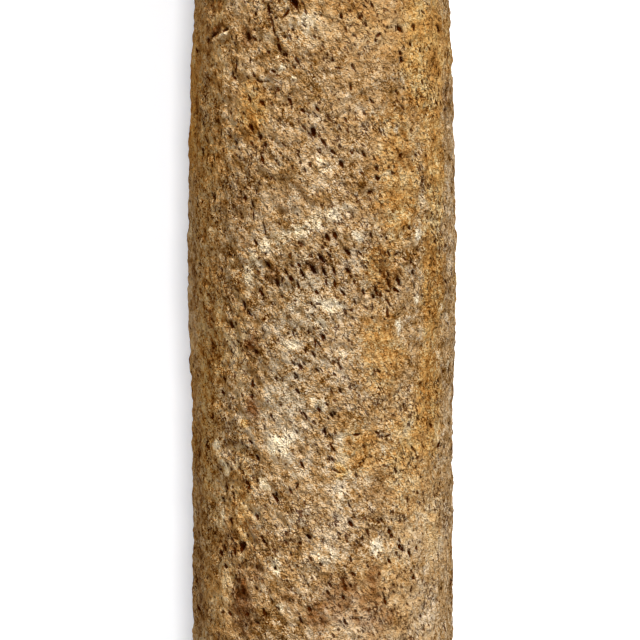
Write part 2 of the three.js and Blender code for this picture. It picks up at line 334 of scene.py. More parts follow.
# Lumps and ridges that stand proud, with their height in millimetres as strength
RAISED_PATCHES = (
    Patch(219, 37, 15, 2.6, -71, 1.0), Patch(270, 72, 5, 4, 0, 0.7), Patch(292, 78, 4, 3, 30, 0.5),
    Patch(281, 22, 7, 4, 20, 0.5), Patch(276, 445, 12, 9, 40, 0.4), Patch(334, 300, 14, 8, 80, 0.35),
    Patch(222, 516, 8, 4, 25, 0.5), Patch(317, 558, 12, 10, 30, 0.4), Patch(376, 545, 10, 8, 30, 0.35),
    Patch(296, 343, 6, 5, 90, 0.4), Patch(405, 230, 10, 6, 15, 0.4), Patch(386, 262, 10, 5, 75, 0.4),
)

# Brown stains; the long upright strips near the left edge, at columns 195 to 210, are painted shade on the
# side turned from the key light
STAIN_AND_SHADE_PATCHES = (
    Patch(251, 343, 10, 7, 10, 0.85), Patch(251, 411, 13, 7, 10, 0.8), Patch(237, 300, 14, 4, 35, 0.6),
    Patch(385, 271, 18, 14, 5, 0.55), Patch(317, 265, 13, 8, 75, 0.6), Patch(273, 276, 9, 8, 0, 0.6),
    Patch(330, 236, 6, 5, 0, 0.5), Patch(357, 292, 8, 6, 0, 0.4), Patch(228, 541, 12, 8, 15, 0.55),
    Patch(255, 570, 12, 9, 12, 0.55), Patch(245, 612, 24, 14, 10, 0.6), Patch(289, 602, 14, 10, 20, 0.5),
    Patch(317, 618, 16, 13, 0, 0.7), Patch(376, 578, 13, 9, -25, 0.65), Patch(360, 545, 7, 6, 0, 0.5),
    Patch(250, 530, 12, 7, 30, 0.5), Patch(245, 36, 12, 7, 10, 0.7), Patch(214, 29, 9, 4, -66, 0.8),
    Patch(205, 60, 40, 6, 0, 0.5), Patch(239, 200, 20, 8, 5, 0.45), Patch(270, 76, 6, 5, 0, 0.5),
    Patch(210, 335, 40, 10, 0, 0.5), Patch(408, 155, 24, 10, -40, 0.4), Patch(378, 190, 14, 7, -50, 0.35),
    Patch(436, 285, 22, 8, 0, 0.35), Patch(415, 272, 8, 6, 0, 0.4), Patch(290, 197, 18, 14, 0, 0.35),
    Patch(245, 240, 10, 7, 0, 0.35), Patch(378, 95, 26, 14, 0, 0.2), Patch(345, 65, 20, 10, 0, 0.2),
    Patch(343, 598, 26, 22, 0, 0.6), Patch(376, 612, 26, 20, 0, 0.6), Patch(240, 598, 30, 12, 0, 0.8),
    # The long upright strips at columns 195 to 210 are painted shade along the left edge
    Patch(196, 120, 90, 9, 0, 0.45), Patch(195, 300, 90, 9, 0, 0.5), Patch(196, 480, 90, 9, 0, 0.5),
    Patch(197, 600, 60, 9, 0, 0.5), Patch(378, 490, 24, 14, 0, 0.3), Patch(410, 510, 24, 12, 0, 0.3),
)

# Golden ochre, where the stone is least weathered
GOLD_PATCHES = (
    Patch(212, 70, 90, 24, 0, 0.5), Patch(208, 240, 90, 22, 0, 0.5), Patch(208, 400, 90, 22, 0, 0.6),
    Patch(214, 570, 90, 26, 0, 0.5), Patch(320, 20, 40, 80, 0, 0.35), Patch(425, 60, 80, 26, 5, 0.95),
    Patch(400, 170, 60, 26, 0, 0.75), Patch(432, 280, 70, 16, 0, 0.8), Patch(385, 360, 40, 24, 10, 0.68),
    Patch(410, 470, 60, 26, 0, 0.6), Patch(390, 590, 50, 30, 0, 0.35), Patch(341, 471, 7, 5, 20, 1.0),
    Patch(244, 423, 5, 4, 20, 1.0), Patch(250, 110, 30, 16, 10, 0.7), Patch(240, 330, 60, 14, 0, 0.5),
    Patch(240, 500, 60, 14, 0, 0.6), Patch(440, 50, 60, 16, 0, 1.0), Patch(436, 160, 60, 18, 0, 1.0),
    Patch(434, 290, 60, 20, 0, 1.0), Patch(432, 400, 60, 22, 0, 1.0), Patch(436, 510, 60, 18, 0, 0.5),
    Patch(383, 270, 22, 18, 0, 0.8), Patch(212, 330, 70, 26, 0, 0.7), Patch(212, 160, 70, 26, 0, 0.5),
    Patch(360, 450, 30, 20, 0, 0.45),
)

# Where the surface is broken and casts hard small shadows
ROUGH_PATCHES = (
    Patch(208, 120, 50, 20, 0, 1.3), Patch(208, 250, 60, 22, 0, 1.8), Patch(208, 370, 60, 22, 0, 1.8),
    Patch(208, 480, 60, 22, 0, 1.5), Patch(236, 200, 50, 22, 0, 0.8), Patch(236, 290, 70, 22, 0, 1.2),
    Patch(236, 430, 50, 22, 0, 1.2), Patch(290, 340, 60, 30, 0, 1.0), Patch(320, 265, 24, 60, 0, 0.9),
    Patch(330, 420, 50, 24, 0, 0.5), Patch(405, 250, 30, 24, 0, 0.5), Patch(280, 20, 24, 20, 0, 0.5),
)

# Where the surface is worn smooth
CALM_PATCHES = (
    Patch(390, 25, 34, 50, 0, 1.5), Patch(440, 50, 60, 14, 0, 1.5), Patch(390, 612, 34, 52, 0, 1.4),
    Patch(345, 110, 30, 22, 0, 0.4), Patch(420, 450, 50, 24, 0, 0.6), Patch(425, 530, 40, 24, 0, 0.7),
    Patch(232, 610, 22, 20, 0, 0.5),
)

# The tints of the sides, the back and the ends
FAR_TINTS = {
    Tint.BLOOM: Sprinkle(70, 3, 13, 0.45, 1.0),
    Tint.PALE: Sprinkle(34, 14, 50, 0.5, 1.0),
    Tint.GREY: Sprinkle(22, 14, 50, 0.3, 0.6),
    Tint.STAIN_AND_SHADE: Sprinkle(46, 6, 26, 0.3, 0.8),
    Tint.GOLD: Sprinkle(36, 20, 80, 0.3, 0.8),
    Tint.ROUGH: Sprinkle(26, 20, 60, 0.4, 1.0),
    Tint.CALM: Sprinkle(20, 20, 60, 0.4, 1.0),
}

# The tints of the front
PATCHES = {
    Tint.BLOOM: BLOOM_PATCHES,
    Tint.PALE: PALE_PATCHES,
    Tint.GREY: GREY_PATCHES,
    Tint.STAIN_AND_SHADE: STAIN_AND_SHADE_PATCHES,
    Tint.GOLD: GOLD_PATCHES,
    Tint.ROUGH: ROUGH_PATCHES,
    Tint.CALM: CALM_PATCHES,
}


class Board:
    """The node tree of a material or a sky, with short calls that add nodes and join them."""

    def __init__(self, name: str, sky: bool = False) -> None:
        """Start an empty material or sky.

        Args:
            name: Its name.
            sky: Whether it is a sky.
        """
        self.owner = (bpy.data.worlds if sky else bpy.data.materials).new(name)
        self.owner.use_nodes = True
        self.tree = self.owner.node_tree
        self.tree.nodes.clear()

    def add(self, kind: str, **settings: object) -> bpy.types.Node:
        """Add a node.

        Args:
            kind: The node's type.
            settings: Its properties.

        Returns:
            The new node.
        """
        node = self.tree.nodes.new(kind)
        for key, value in settings.items():
            setattr(node, key, value)
        return node

    def feed(self, socket: Socket, value: object) -> None:
        """Join another node's socket to this one, or set a constant on it.

        Args:
            socket: The socket that is fed.
            value: The other socket, or the constant.
        """
        if isinstance(value, Socket):
            self.tree.links.new(value, socket)
        else:
            socket.default_value = value

    def place(self) -> Socket:
        """The point being shaded, in the object's own frame."""
        return self.add("ShaderNodeTexCoord").outputs["Object"]

    def drawn(self, vector: object, lean: float, stretch: float) -> Socket:
        """Draw a pattern out along an axis that leans in the plane that the photograph looks at.

        Args:
            vector: The place to turn.
            lean: Degrees that the axis leans to the left of upright.
            stretch: How far the pattern is drawn out along it.

        Returns:
            The place in the pattern.
        """
        mapping = self.add("ShaderNodeMapping", vector_type="TEXTURE")
        self.feed(mapping.inputs["Vector"], vector)
        mapping.inputs["Rotation"].default_value = (0, -math.radians(lean), 0)
        mapping.inputs["Scale"].default_value = (1, 1, stretch)
        return mapping.outputs["Vector"]

    def noise(self, vector: object, size: float, detail: float = 2.0, rough: float = 0.5,
              warp: float = 0.0) -> Socket:
        """Cloudy noise.

        Args:
            vector: Where in the pattern.
            size: How far apart its blobs are, in millimetres.
            detail: How many finer layers it has.
            rough: How strong the finer layers are.
            warp: How far it is drawn out of shape.

        Returns:
            A value about 0.5.
        """
        node = self.add("ShaderNodeTexNoise")
        self.feed(node.inputs["Vector"], vector)
        node.inputs["Scale"].default_value = 1 / (size * MM)
        node.inputs["Detail"].default_value = detail
        node.inputs["Roughness"].default_value = rough
        node.inputs["Distortion"].default_value = warp
        return node.outputs["Fac"]

    def grains(self, vector: object, size: float) -> Socket:
        """Packed grains, each of one random tone.

        Args:
            vector: Where in the pattern.
            size: How far apart the grains are, in millimetres.

        Returns:
            A value about 0.5 that is even across each grain.
        """
        node = self.add("ShaderNodeTexVoronoi", feature="F1")
        self.feed(node.inputs["Vector"], vector)
        node.inputs["Scale"].default_value = 1 / (size * MM)
        return node.outputs["Color"]

    def seen(self) -> Socket:
        """Tell what the camera sees from other light.

        Returns:
            1 for what it sees, straight, in gloss or through glass, and 0 for the rest.
        """
        path = self.add("ShaderNodeLightPath").outputs
        shown = self.math("MAXIMUM", path["Is Camera Ray"], path["Is Glossy Ray"])
        return self.math("MAXIMUM", shown, path["Is Transmission Ray"])

    def attribute(self, name: str) -> Socket:
        """A value that the mesh carries at its vertices."""
        return self.add("ShaderNodeAttribute", attribute_name=name).outputs["Fac"]

    def split(self, vector: object) -> tuple[Socket, ...]:
        """Take a vector apart.

        Args:
            vector: The vector.

        Returns:
            Its three parts.
        """
        node = self.add("ShaderNodeSeparateXYZ")
        self.feed(node.inputs["Vector"], vector)
        return tuple(node.outputs)

    def corners(self, name: str) -> tuple[Socket, ...]:
        """The three values that the mesh carries at its faces' corners."""
        return self.split(self.add("ShaderNodeAttribute", attribute_name=name).outputs["Vector"])

    def hypot(self, first: object, second: object) -> Socket:
        """The length of a step that goes one way by the first value and square to it by the second."""
        return self.math("SQRT", self.plus(*[self.times(side, side) for side in (first, second)]))

    def math(self, work: str, first: object, second: object = 0.0) -> Socket:
        """One sum on two values.

        Args:
            work: The operation.
            first: The first value or socket.
            second: The second value or socket.

        Returns:
            The result.
        """
        node = self.add("ShaderNodeMath", operation=work)
        self.feed(node.inputs[0], first)
        self.feed(node.inputs[1], second)
        return node.outputs["Value"]

    def plus(self, first: object, second: object) -> Socket:
        """Add two values."""
        return self.math("ADD", first, second)

    def times(self, first: object, second: object) -> Socket:
        """Multiply two values."""
        return self.math("MULTIPLY", first, second)

    def sum(self, *parts: tuple[object, float], middle: float = 0.5) -> Socket:
        """Add noises by weight, so that they swing about one middle value.

        Args:
            parts: Each noise with its weight.
            middle: The value that the sum swings about.

        Returns:
            The sum.
        """
        total = middle - 0.5 * sum(weight for _, weight in parts)
        for value, weight in parts:
            node = self.add("ShaderNodeMath", operation="MULTIPLY_ADD")
            self.feed(node.inputs[0], value)
            node.inputs[1].default_value = weight
            self.feed(node.inputs[2], total)
            total = node.outputs["Value"]
        return total

    def span(self, value: object, low: float, high: float, start: float = 0.0,
             end: float = 1.0) -> Socket:
        """Ease a value across a span.

        Args:
            value: What is eased.
            low: Where the span starts.
            high: Where the span ends, which may be lower.
            start: The result at low.
            end: The result at high.

        Returns:
            The eased value.
        """
        node = self.add("ShaderNodeMapRange", interpolation_type="SMOOTHSTEP")
        self.feed(node.inputs["Value"], value)
        node.inputs["From Min"].default_value = low
        node.inputs["From Max"].default_value = high
        node.inputs["To Min"].default_value = start
        node.inputs["To Max"].default_value = end
        return node.outputs["Result"]

    def ramp(self, value: object, *stops: tuple[float, str]) -> Socket:
        """Colour a value.

        Args:
            value: What is coloured.
            stops: Places along it with their screen colours.

        Returns:
            The colour.
        """
        node = self.add("ShaderNodeValToRGB")
        points = node.color_ramp.elements
        while len(points) < len(stops):
            points.new(0.5)
        for point, (where, code) in zip(points, stops):
            point.position = where
            point.color = shade(code)
        self.feed(node.inputs["Fac"], value)
        return node.outputs["Color"]

    def mix(self, share: object, first: object, second: object,
            blend: Blend = Blend.COVER) -> Socket:
        """Lay one colour over another.

        Args:
            share: How much of the second shows.
            first: The colour below.
            second: The colour above.
            blend: How they are laid.

        Returns:
            The mixed colour.
        """
        # The node has sockets for numbers and vectors too, under the same names
        factor, below, above, result = 0, 6, 7, 2
        node = self.add("ShaderNodeMix", data_type="RGBA", blend_type=blend.value)
        self.feed(node.inputs[factor], share)
        self.feed(node.inputs[below], first)
        self.feed(node.inputs[above], second)
        return node.outputs[result]

    def bump(self, height: object, strength: float, reach: float) -> Socket:
        """Small relief.

        Args:
            height: The relief, from 0 to 1.
            strength: How much of it shows.
            reach: How tall it is, in millimetres.

        Returns:
            The bent normal.
        """
        node = self.add("ShaderNodeBump")
        node.inputs["Strength"].default_value = strength
        node.inputs["Distance"].default_value = reach * MM
        self.feed(node.inputs["Height"], height)
        return node.outputs["Normal"]

    def finish(self, colour: object, roughness: object, normal: object, gloss: float) -> bpy.types.Material:
        """End the tree in one surface.

        Args:
            colour: The base colour.
            roughness: How dull it is.
            normal: Its relief.
            gloss: The specular level.

        Returns:
            The material.
        """
        surface = self.add("ShaderNodeBsdfPrincipled")
        self.feed(surface.inputs["Base Color"], colour)
        self.feed(surface.inputs["Roughness"], roughness)
        self.feed(surface.inputs["Normal"], normal)
        surface.inputs["Specular IOR Level"].default_value = gloss
        self.feed(self.add("ShaderNodeOutputMaterial").inputs["Surface"], surface.outputs["BSDF"])
        return self.owner


@dataclass(frozen=True)
class StoneFinish:
    """Porous ochre stone, weathered, with pits, lime bloom and stains, and painted shade in its hollows,
    pores and cracks. Sizes are in millimetres.
    """

    lean: float = 34.0
    short_stretch: float = 1.2
    middle_stretch: float = 1.5
    long_stretch: float = 2.0
    fine_size: float = 0.45
    speck_size: float = 0.6
    grain_size: float = 0.95
    stroke_size: float = 1.5
    knot_size: float = 2.6
    pore_size: float = 1.0
    crack_size: float = 3.2
    patch_size: float = 4.5
    cloud_size: float = 9.0
    crowd_size: float = 19.8
    drift_size: float = 34.0
    roughening: float = 0.5
    calming: float = -0.45
    paling: float = 0.15
    darkness: float = 0.85
    relief_height: float = 3.0
    body: Ramp = ((0.08, "3c1600"), (0.25, "6a4313"), (0.40, "8c693b"), (0.52, "a58256"), (0.66, "b99a70"),
                  (0.84, "ccb697"))
    gold: Ramp = ((0.08, "401500"), (0.25, "71400b"), (0.40, "96672f"), (0.52, "b07f42"), (0.66, "c1985a"),
                  (0.84, "d1b682"))
    grey: Ramp = ((0.08, "391a02"), (0.25, "674620"), (0.40, "896f4a"), (0.52, "a28964"), (0.66, "b7a07f"),
                  (0.84, "cbbda3"))
    lime: Ramp = ((0.08, "634218"), (0.25, "b09060"), (0.40, "d2b98f"), (0.52, "e2cfa9"), (0.72, "efdfc0"))
    # The stain colour serves both brown stains and painted shade along the left edge
    stain_and_shade_colour: str = "9a7044"
    # Painted shade: the next four colours darken round pore mouths, on hollow walls, in pores and hair
    # cracks, and on hollow floors
    painted_pore_rim_shade: str = "9a6f40"
    painted_hollow_shade: str = "96683a"
    pore_shade: str = "4c1f00"
    painted_pit_shadow: str = "461b00"

    def material(self) -> bpy.types.Material:
        """Build the stone's material.

        Returns:
            The material.
        """
        b = Board("ochre_stone")
        # The patterns, from the finest to the broadest
        here = b.place()
        short = b.drawn(here, self.lean, self.short_stretch)
        drawn = b.drawn(here, self.lean, self.middle_stretch)
        lined = b.drawn(here, self.lean, self.long_stretch)
        fine = b.noise(short, self.fine_size, 0.5, 0.5)
        specks = b.grains(short, self.speck_size)
        grain = b.noise(drawn, self.grain_size, 2.0, 0.6)
        strokes = b.noise(lined, self.stroke_size, 2.0, 0.6)
        knot = b.noise(drawn, self.knot_size, 2.0, 0.55)
        cloud = b.noise(here, self.cloud_size, 3.0, 0.6, 0.3)
        drift = b.noise(here, self.drift_size, 2.0, 0.5)
        # How light the stone is, and how strongly its grain shows
        rough, calm = b.attribute(Tint.ROUGH.value), b.attribute(Tint.CALM.value)
        zone = b.plus(b.plus(b.times(rough, self.roughening), b.times(calm, self.calming)), 1.0)
        harsh = b.span(b.noise(drawn, self.patch_size, 2.0, 0.6), 0.36, 0.66, 0.45, 1.75)
        harsh = b.times(harsh, zone)
        bright = b.span(specks, 0.66, 0.92, 0.0, 0.14)
        sparse = b.math("SUBTRACT", bright, b.span(specks, 0.34, 0.08, 0.0, 0.13))
        crisp = b.plus(b.sum((fine, 0.56), (grain, 0.22), middle=0.0), sparse)
        lumps = b.sum((knot, 1.0), (strokes, 0.5), middle=0.0)
        lumps = b.times(lumps, b.span(zone, 0.6, 1.5, -0.4, 0.5))
        broad = b.sum((grain, 0.28), (strokes, 0.42), (knot, 0.76), (cloud, 0.75), (drift, 0.2), middle=0.57)
        broad = b.plus(broad, lumps)
        paled = b.plus(broad, b.times(b.attribute(Tint.PALE.value), self.paling))
        tone = b.plus(paled, b.times(crisp, harsh))
        # Ochre, gold, grey, stain with painted shade, and lime, one over the other
        body = b.ramp(tone, *self.body)
        gold = b.ramp(tone, *self.gold)
        grey = b.ramp(tone, *self.grey)
        lime = b.ramp(tone, *self.lime)
        golden = b.plus(b.attribute(Tint.GOLD.value), b.span(drift, 0.45, 0.75, 0.0, 0.3))
        colour = b.mix(b.span(golden, 0.1, 1.0), body, gold)
        greyed = b.plus(b.attribute(Tint.GREY.value), b.span(cloud, 0.52, 0.78, 0.0, 0.2))
        greyed = b.plus(greyed, b.sum((knot, 0.3), middle=0.0))
        colour = b.mix(b.span(greyed, 0.1, 1.0), colour, grey)
        # Brown stains darken the colour, and along the left edge this darkening is painted shade
        stain_and_shade_cover = b.plus(b.attribute(Tint.STAIN_AND_SHADE.value), b.sum((knot, -0.9), middle=0.0))
        colour = b.mix(b.span(stain_and_shade_cover, 0.1, 1.1), colour, shade(self.stain_and_shade_colour), Blend.DARKEN)
        crust = b.sum((knot, 1.0), (grain, 0.8), (fine, 0.7), middle=0.0)
        limed = b.plus(b.attribute(Tint.BLOOM.value), crust)
        colour = b.mix(b.span(limed, 0.25, 1.1), colour, lime)
        # Fine pores and hair cracks, with painted shade in them and round their mouths
        holes = b.noise(lined, self.pore_size, 1.0, 0.5)
        crowd = b.noise(here, self.crowd_size, 2.0, 0.5)
        edge = b.plus(b.sum((holes, 1.0), (fine, 0.25)), b.span(crowd, 0.3, 0.7, 0.06, -0.01))
        pore_shadow = b.span(edge, 0.345, 0.275)
        rim = b.span(edge, 0.44, 0.35, 0.0, 0.35)
        veins = b.noise(lined, self.crack_size, 2.0, 0.55)
        open_vein = b.span(b.math("ABSOLUTE", b.math("SUBTRACT", veins, 0.5)), 0.022, 0.006)
        crack = b.times(open_vein, b.span(b.sum((knot, 0.5), (crowd, 1.0)), 0.53, 0.62))
        dark = b.math("MAXIMUM", pore_shadow, crack)
        # Painted shadow on the floors of the modelled hollows and painted shade on and round their walls,
        # with ragged edges
        across, along, deep = b.corners(HOLLOW)
        out = b.hypot(across, along)
        ragged = b.plus(out, b.sum((fine, 0.7), (grain, 1.0), middle=0.0))
        pit_shadow = b.times(b.span(ragged, 1.02, 0.74), b.span(deep, 0.0, 0.9, 0.45, 1.0))
        hollow_shade = b.times(b.span(ragged, 1.6, 0.8), b.span(deep, 0.0, 1.0, 0.06, 0.42))
        # Painted shade round pore mouths, on and round the hollows' walls, in pores and hair cracks, and on
        # the hollows' floors
        colour = b.mix(rim, colour, shade(self.painted_pore_rim_shade), Blend.DARKEN)
        colour = b.mix(hollow_shade, colour, shade(self.painted_hollow_shade), Blend.DARKEN)
        colour = b.mix(b.times(dark, self.darkness), colour, shade(self.pore_shade))
        colour = b.mix(pit_shadow, colour, shade(self.painted_pit_shadow))
        # Relief finer than the mesh
        hole = b.span(edge, 0.43, 0.29, 0.0, 0.3)
        bowl = b.times(b.span(ragged, 1.5, 0.5), b.span(deep, 0.0, 1.0, 0.18, 0.6))
        sunk = b.plus(b.plus(hole, b.times(crack, 0.25)), bowl)
        crumbs = b.noise(here, self.fine_size, 0.0)
        grit = b.noise(short, self.grain_size, 0.0)
        ridges = b.noise(drawn, self.stroke_size, 0.0)
        lobes = b.noise(short, self.knot_size, 0.0)
        grown = b.sum((crumbs, 0.36), (grit, 0.42), (ridges, 0.48), (lobes, 0.8), middle=0.0)
        relief = b.math("SUBTRACT", b.times(grown, b.span(zone, 0.6, 1.5, 0.72, 1.3)), sunk)
        dull = b.span(tone, 0.2, 0.8, 0.95, 0.82)
        return b.finish(colour, dull, b.bump(relief, 1.0, self.relief_height), 0.0)


@dataclass(frozen=True)
class WoodFinish:
    """Hand-worn wood with rings set off to one side, long pores and drying checks."""

    name: str
    dark: str
    middle: str
    pale: str
    dull: float
    ring_width: float = 3.4
    heart: Triple = (0.021, 0.034, 0.0)
    ring_stretch: float = 14.0
    fibre_stretch: float = 26.0
    check_stretch: float = 60.0
    mottle_stretch: float = 5.0
    fibre_size: float = 0.55
    pore_size: float = 0.32
    check_size: float = 1.6
    mottle_size: float = 11.0
    dust_size: float = 5.0
    relief_height: float = 0.3
    gloss: float = 0.4
    pore_shade: str = "2a180c"
    check_shade: str = "1d1009"
    wear_shade: str = "5a371b"
    dust_shade: str = "c2ab86"

    def rings(self, b: Board, here: Socket) -> Socket:
        """The year rings.

        Args:
            b: The wood's material.
            here: The point being shaded.

        Returns:
            A value that rises through each ring.
        """
        mapping = b.add("ShaderNodeMapping", vector_type="TEXTURE")
        b.feed(mapping.inputs["Vector"], here)
        mapping.inputs["Location"].default_value = self.heart
        mapping.inputs["Scale"].default_value = (1, 1, self.ring_stretch)
        rings = b.add("ShaderNodeTexWave", wave_type="RINGS", rings_direction="Z", wave_profile="SAW")
        b.feed(rings.inputs["Vector"], mapping.outputs["Vector"])
        rings.inputs["Scale"].default_value = WAVES_TO_A_UNIT / (self.ring_width * MM)
        rings.inputs["Distortion"].default_value = 3.0
        rings.inputs["Detail"].default_value = 2.0
        rings.inputs["Detail Scale"].default_value = 0.5
        return rings.outputs["Fac"]

    def material(self) -> bpy.types.Material:
        """Build the wood's material.

        Returns:
            The material.
        """
        b = Board(self.name)
        here = b.place()
        long_grain = b.drawn(here, 0, self.fibre_stretch)
        fibre = b.noise(long_grain, self.fibre_size, 3.0, 0.65)
        mottle = b.noise(b.drawn(here, 0, self.mottle_stretch), self.mottle_size, 3.0, 0.55)
        tone = b.sum((self.rings(b, here), 0.2), (fibre, 0.5), (mottle, 0.75))
        colour = b.ramp(tone, (0.26, self.dark), (0.5, self.middle), (0.74, self.pale))
        pores = b.span(b.noise(long_grain, self.pore_size, 1.0, 0.5), 0.36, 0.30)
        colour = b.mix(b.times(pores, 0.75), colour, shade(self.pore_shade))
        split = b.noise(b.drawn(here, 0, self.check_stretch), self.check_size, 1.0, 0.4)
        split = b.span(split, 0.335, 0.30)
        colour = b.mix(b.times(split, 0.85), colour, shade(self.check_shade))
        worn = b.attribute(WEAR)
        colour = b.mix(b.times(worn, 0.55), colour, shade(self.wear_shade), Blend.DARKEN)
        dusty = b.times(b.attribute(DUST), b.span(b.noise(here, self.dust_size, 3.0, 0.6), 0.35, 0.65))
        colour = b.mix(b.times(dusty, 0.8), colour, shade(self.dust_shade))
        dull = b.span(fibre, 0.3, 0.7, self.dull + 0.1, self.dull - 0.06)
        sheen = b.math("SUBTRACT", dull, b.times(worn, 0.16))
        relief = b.math("SUBTRACT", fibre, b.plus(pores, split))
        return b.finish(colour, sheen, b.bump(relief, 0.4, self.relief_height), self.gloss)


HAFT_FINISH = WoodFinish("haft_wood", "5c391c", "8d6036", "b5884f", 0.56)
WEDGE_FINISH = WoodFinish("wedge_wood", "7d5a33", "ab8352", "cbaa78", 0.78, 2.2, (0.05, -0.03, 0.0))


def finished(bm: bmesh.types.BMesh, name: str, material: bpy.types.Material) -> bpy.types.Object:
    """Turn a bmesh into a smooth object at the origin.

    Args:
        bm: The shape, which is freed.
        name: The piece's name.
        material: Its finish.

    Returns:
        The new object.
    """
    bmesh.ops.recalc_face_normals(bm, faces=bm.faces)
    mesh = bpy.data.meshes.new(name)
    bm.to_mesh(mesh)
    bm.free()
    mesh.shade_smooth()
    mesh.materials.append(material)
    piece = bpy.data.objects.new(name, mesh)
    bpy.context.scene.collection.objects.link(piece)
    return piece


def report(piece: bpy.types.Object) -> None:
    """Log a finished piece and its triangles."""
    log.info("%s: %d triangles", piece.name, sum(len(face.vertices) - 2 for face in piece.data.polygons))


def spun(outline: list[tuple[float, float]], sides: int) -> bmesh.types.BMesh:
    """Turn an outline about +Z.

    Args:
        outline: Radius and height of each point, from one end of the axis to the other.
        sides: Steps around.

    Returns:
        The turned shape, closed.
    """
    bm = bmesh.new()
    verts = [bm.verts.new((0, -radius, height)) for radius, height in outline]
    edges = [bm.edges.new(pair) for pair in zip(verts, verts[1:])]
    bmesh.ops.spin(bm, geom=verts + edges, cent=(0, 0, 0), axis=(0, 0, 1), angle=FULL_TURN,
                   steps=sides, use_merge=True)
    bmesh.ops.remove_doubles(bm, verts=bm.verts, dist=0.001 * MM)
    bmesh.ops.recalc_face_normals(bm, faces=bm.faces)
    return bm


@dataclass(frozen=True)
class Flake:
    """A scoop struck off one end of the stone, in millimetres, at a turn in degrees from +X."""

    turn: float
    height: float
    bite: float
    width: float
    tall: float


class Oval:
    """An oval on the stone's side, with its own directions across and along it."""

    def __init__(self, middle: Vector, turn: float, length: float, width: float, lean: float,
                 weight: float) -> None:
        """Lay the oval.

        Args:
            middle: The point on the stone that it is centred on.
            turn: Radians from the front.
            length: Its long axis in metres.
            width: Its short axis in metres.
            lean: Degrees that its top leans left.
            weight: How deep or how strong it is.
        """
        right = Vector((math.cos(turn), math.sin(turn), 0))
        up = Vector((0, 0, 1))
        lean = math.radians(lean)
        self.middle = middle
        self.across = (right * math.cos(lean) + up * math.sin(lean)) * (2 / width)
        self.along = (up * math.cos(lean) - right * math.sin(lean)) * (2 / length)
        self.width = width
        self.reach = max(length, width)
        self.weight = weight

    def spot(self, point: Vector) -> tuple[float, float]:
        """Where a point lies across and along the oval, whose edge is at 1."""
        offset = point - self.middle
        return offset.dot(self.across), offset.dot(self.along)


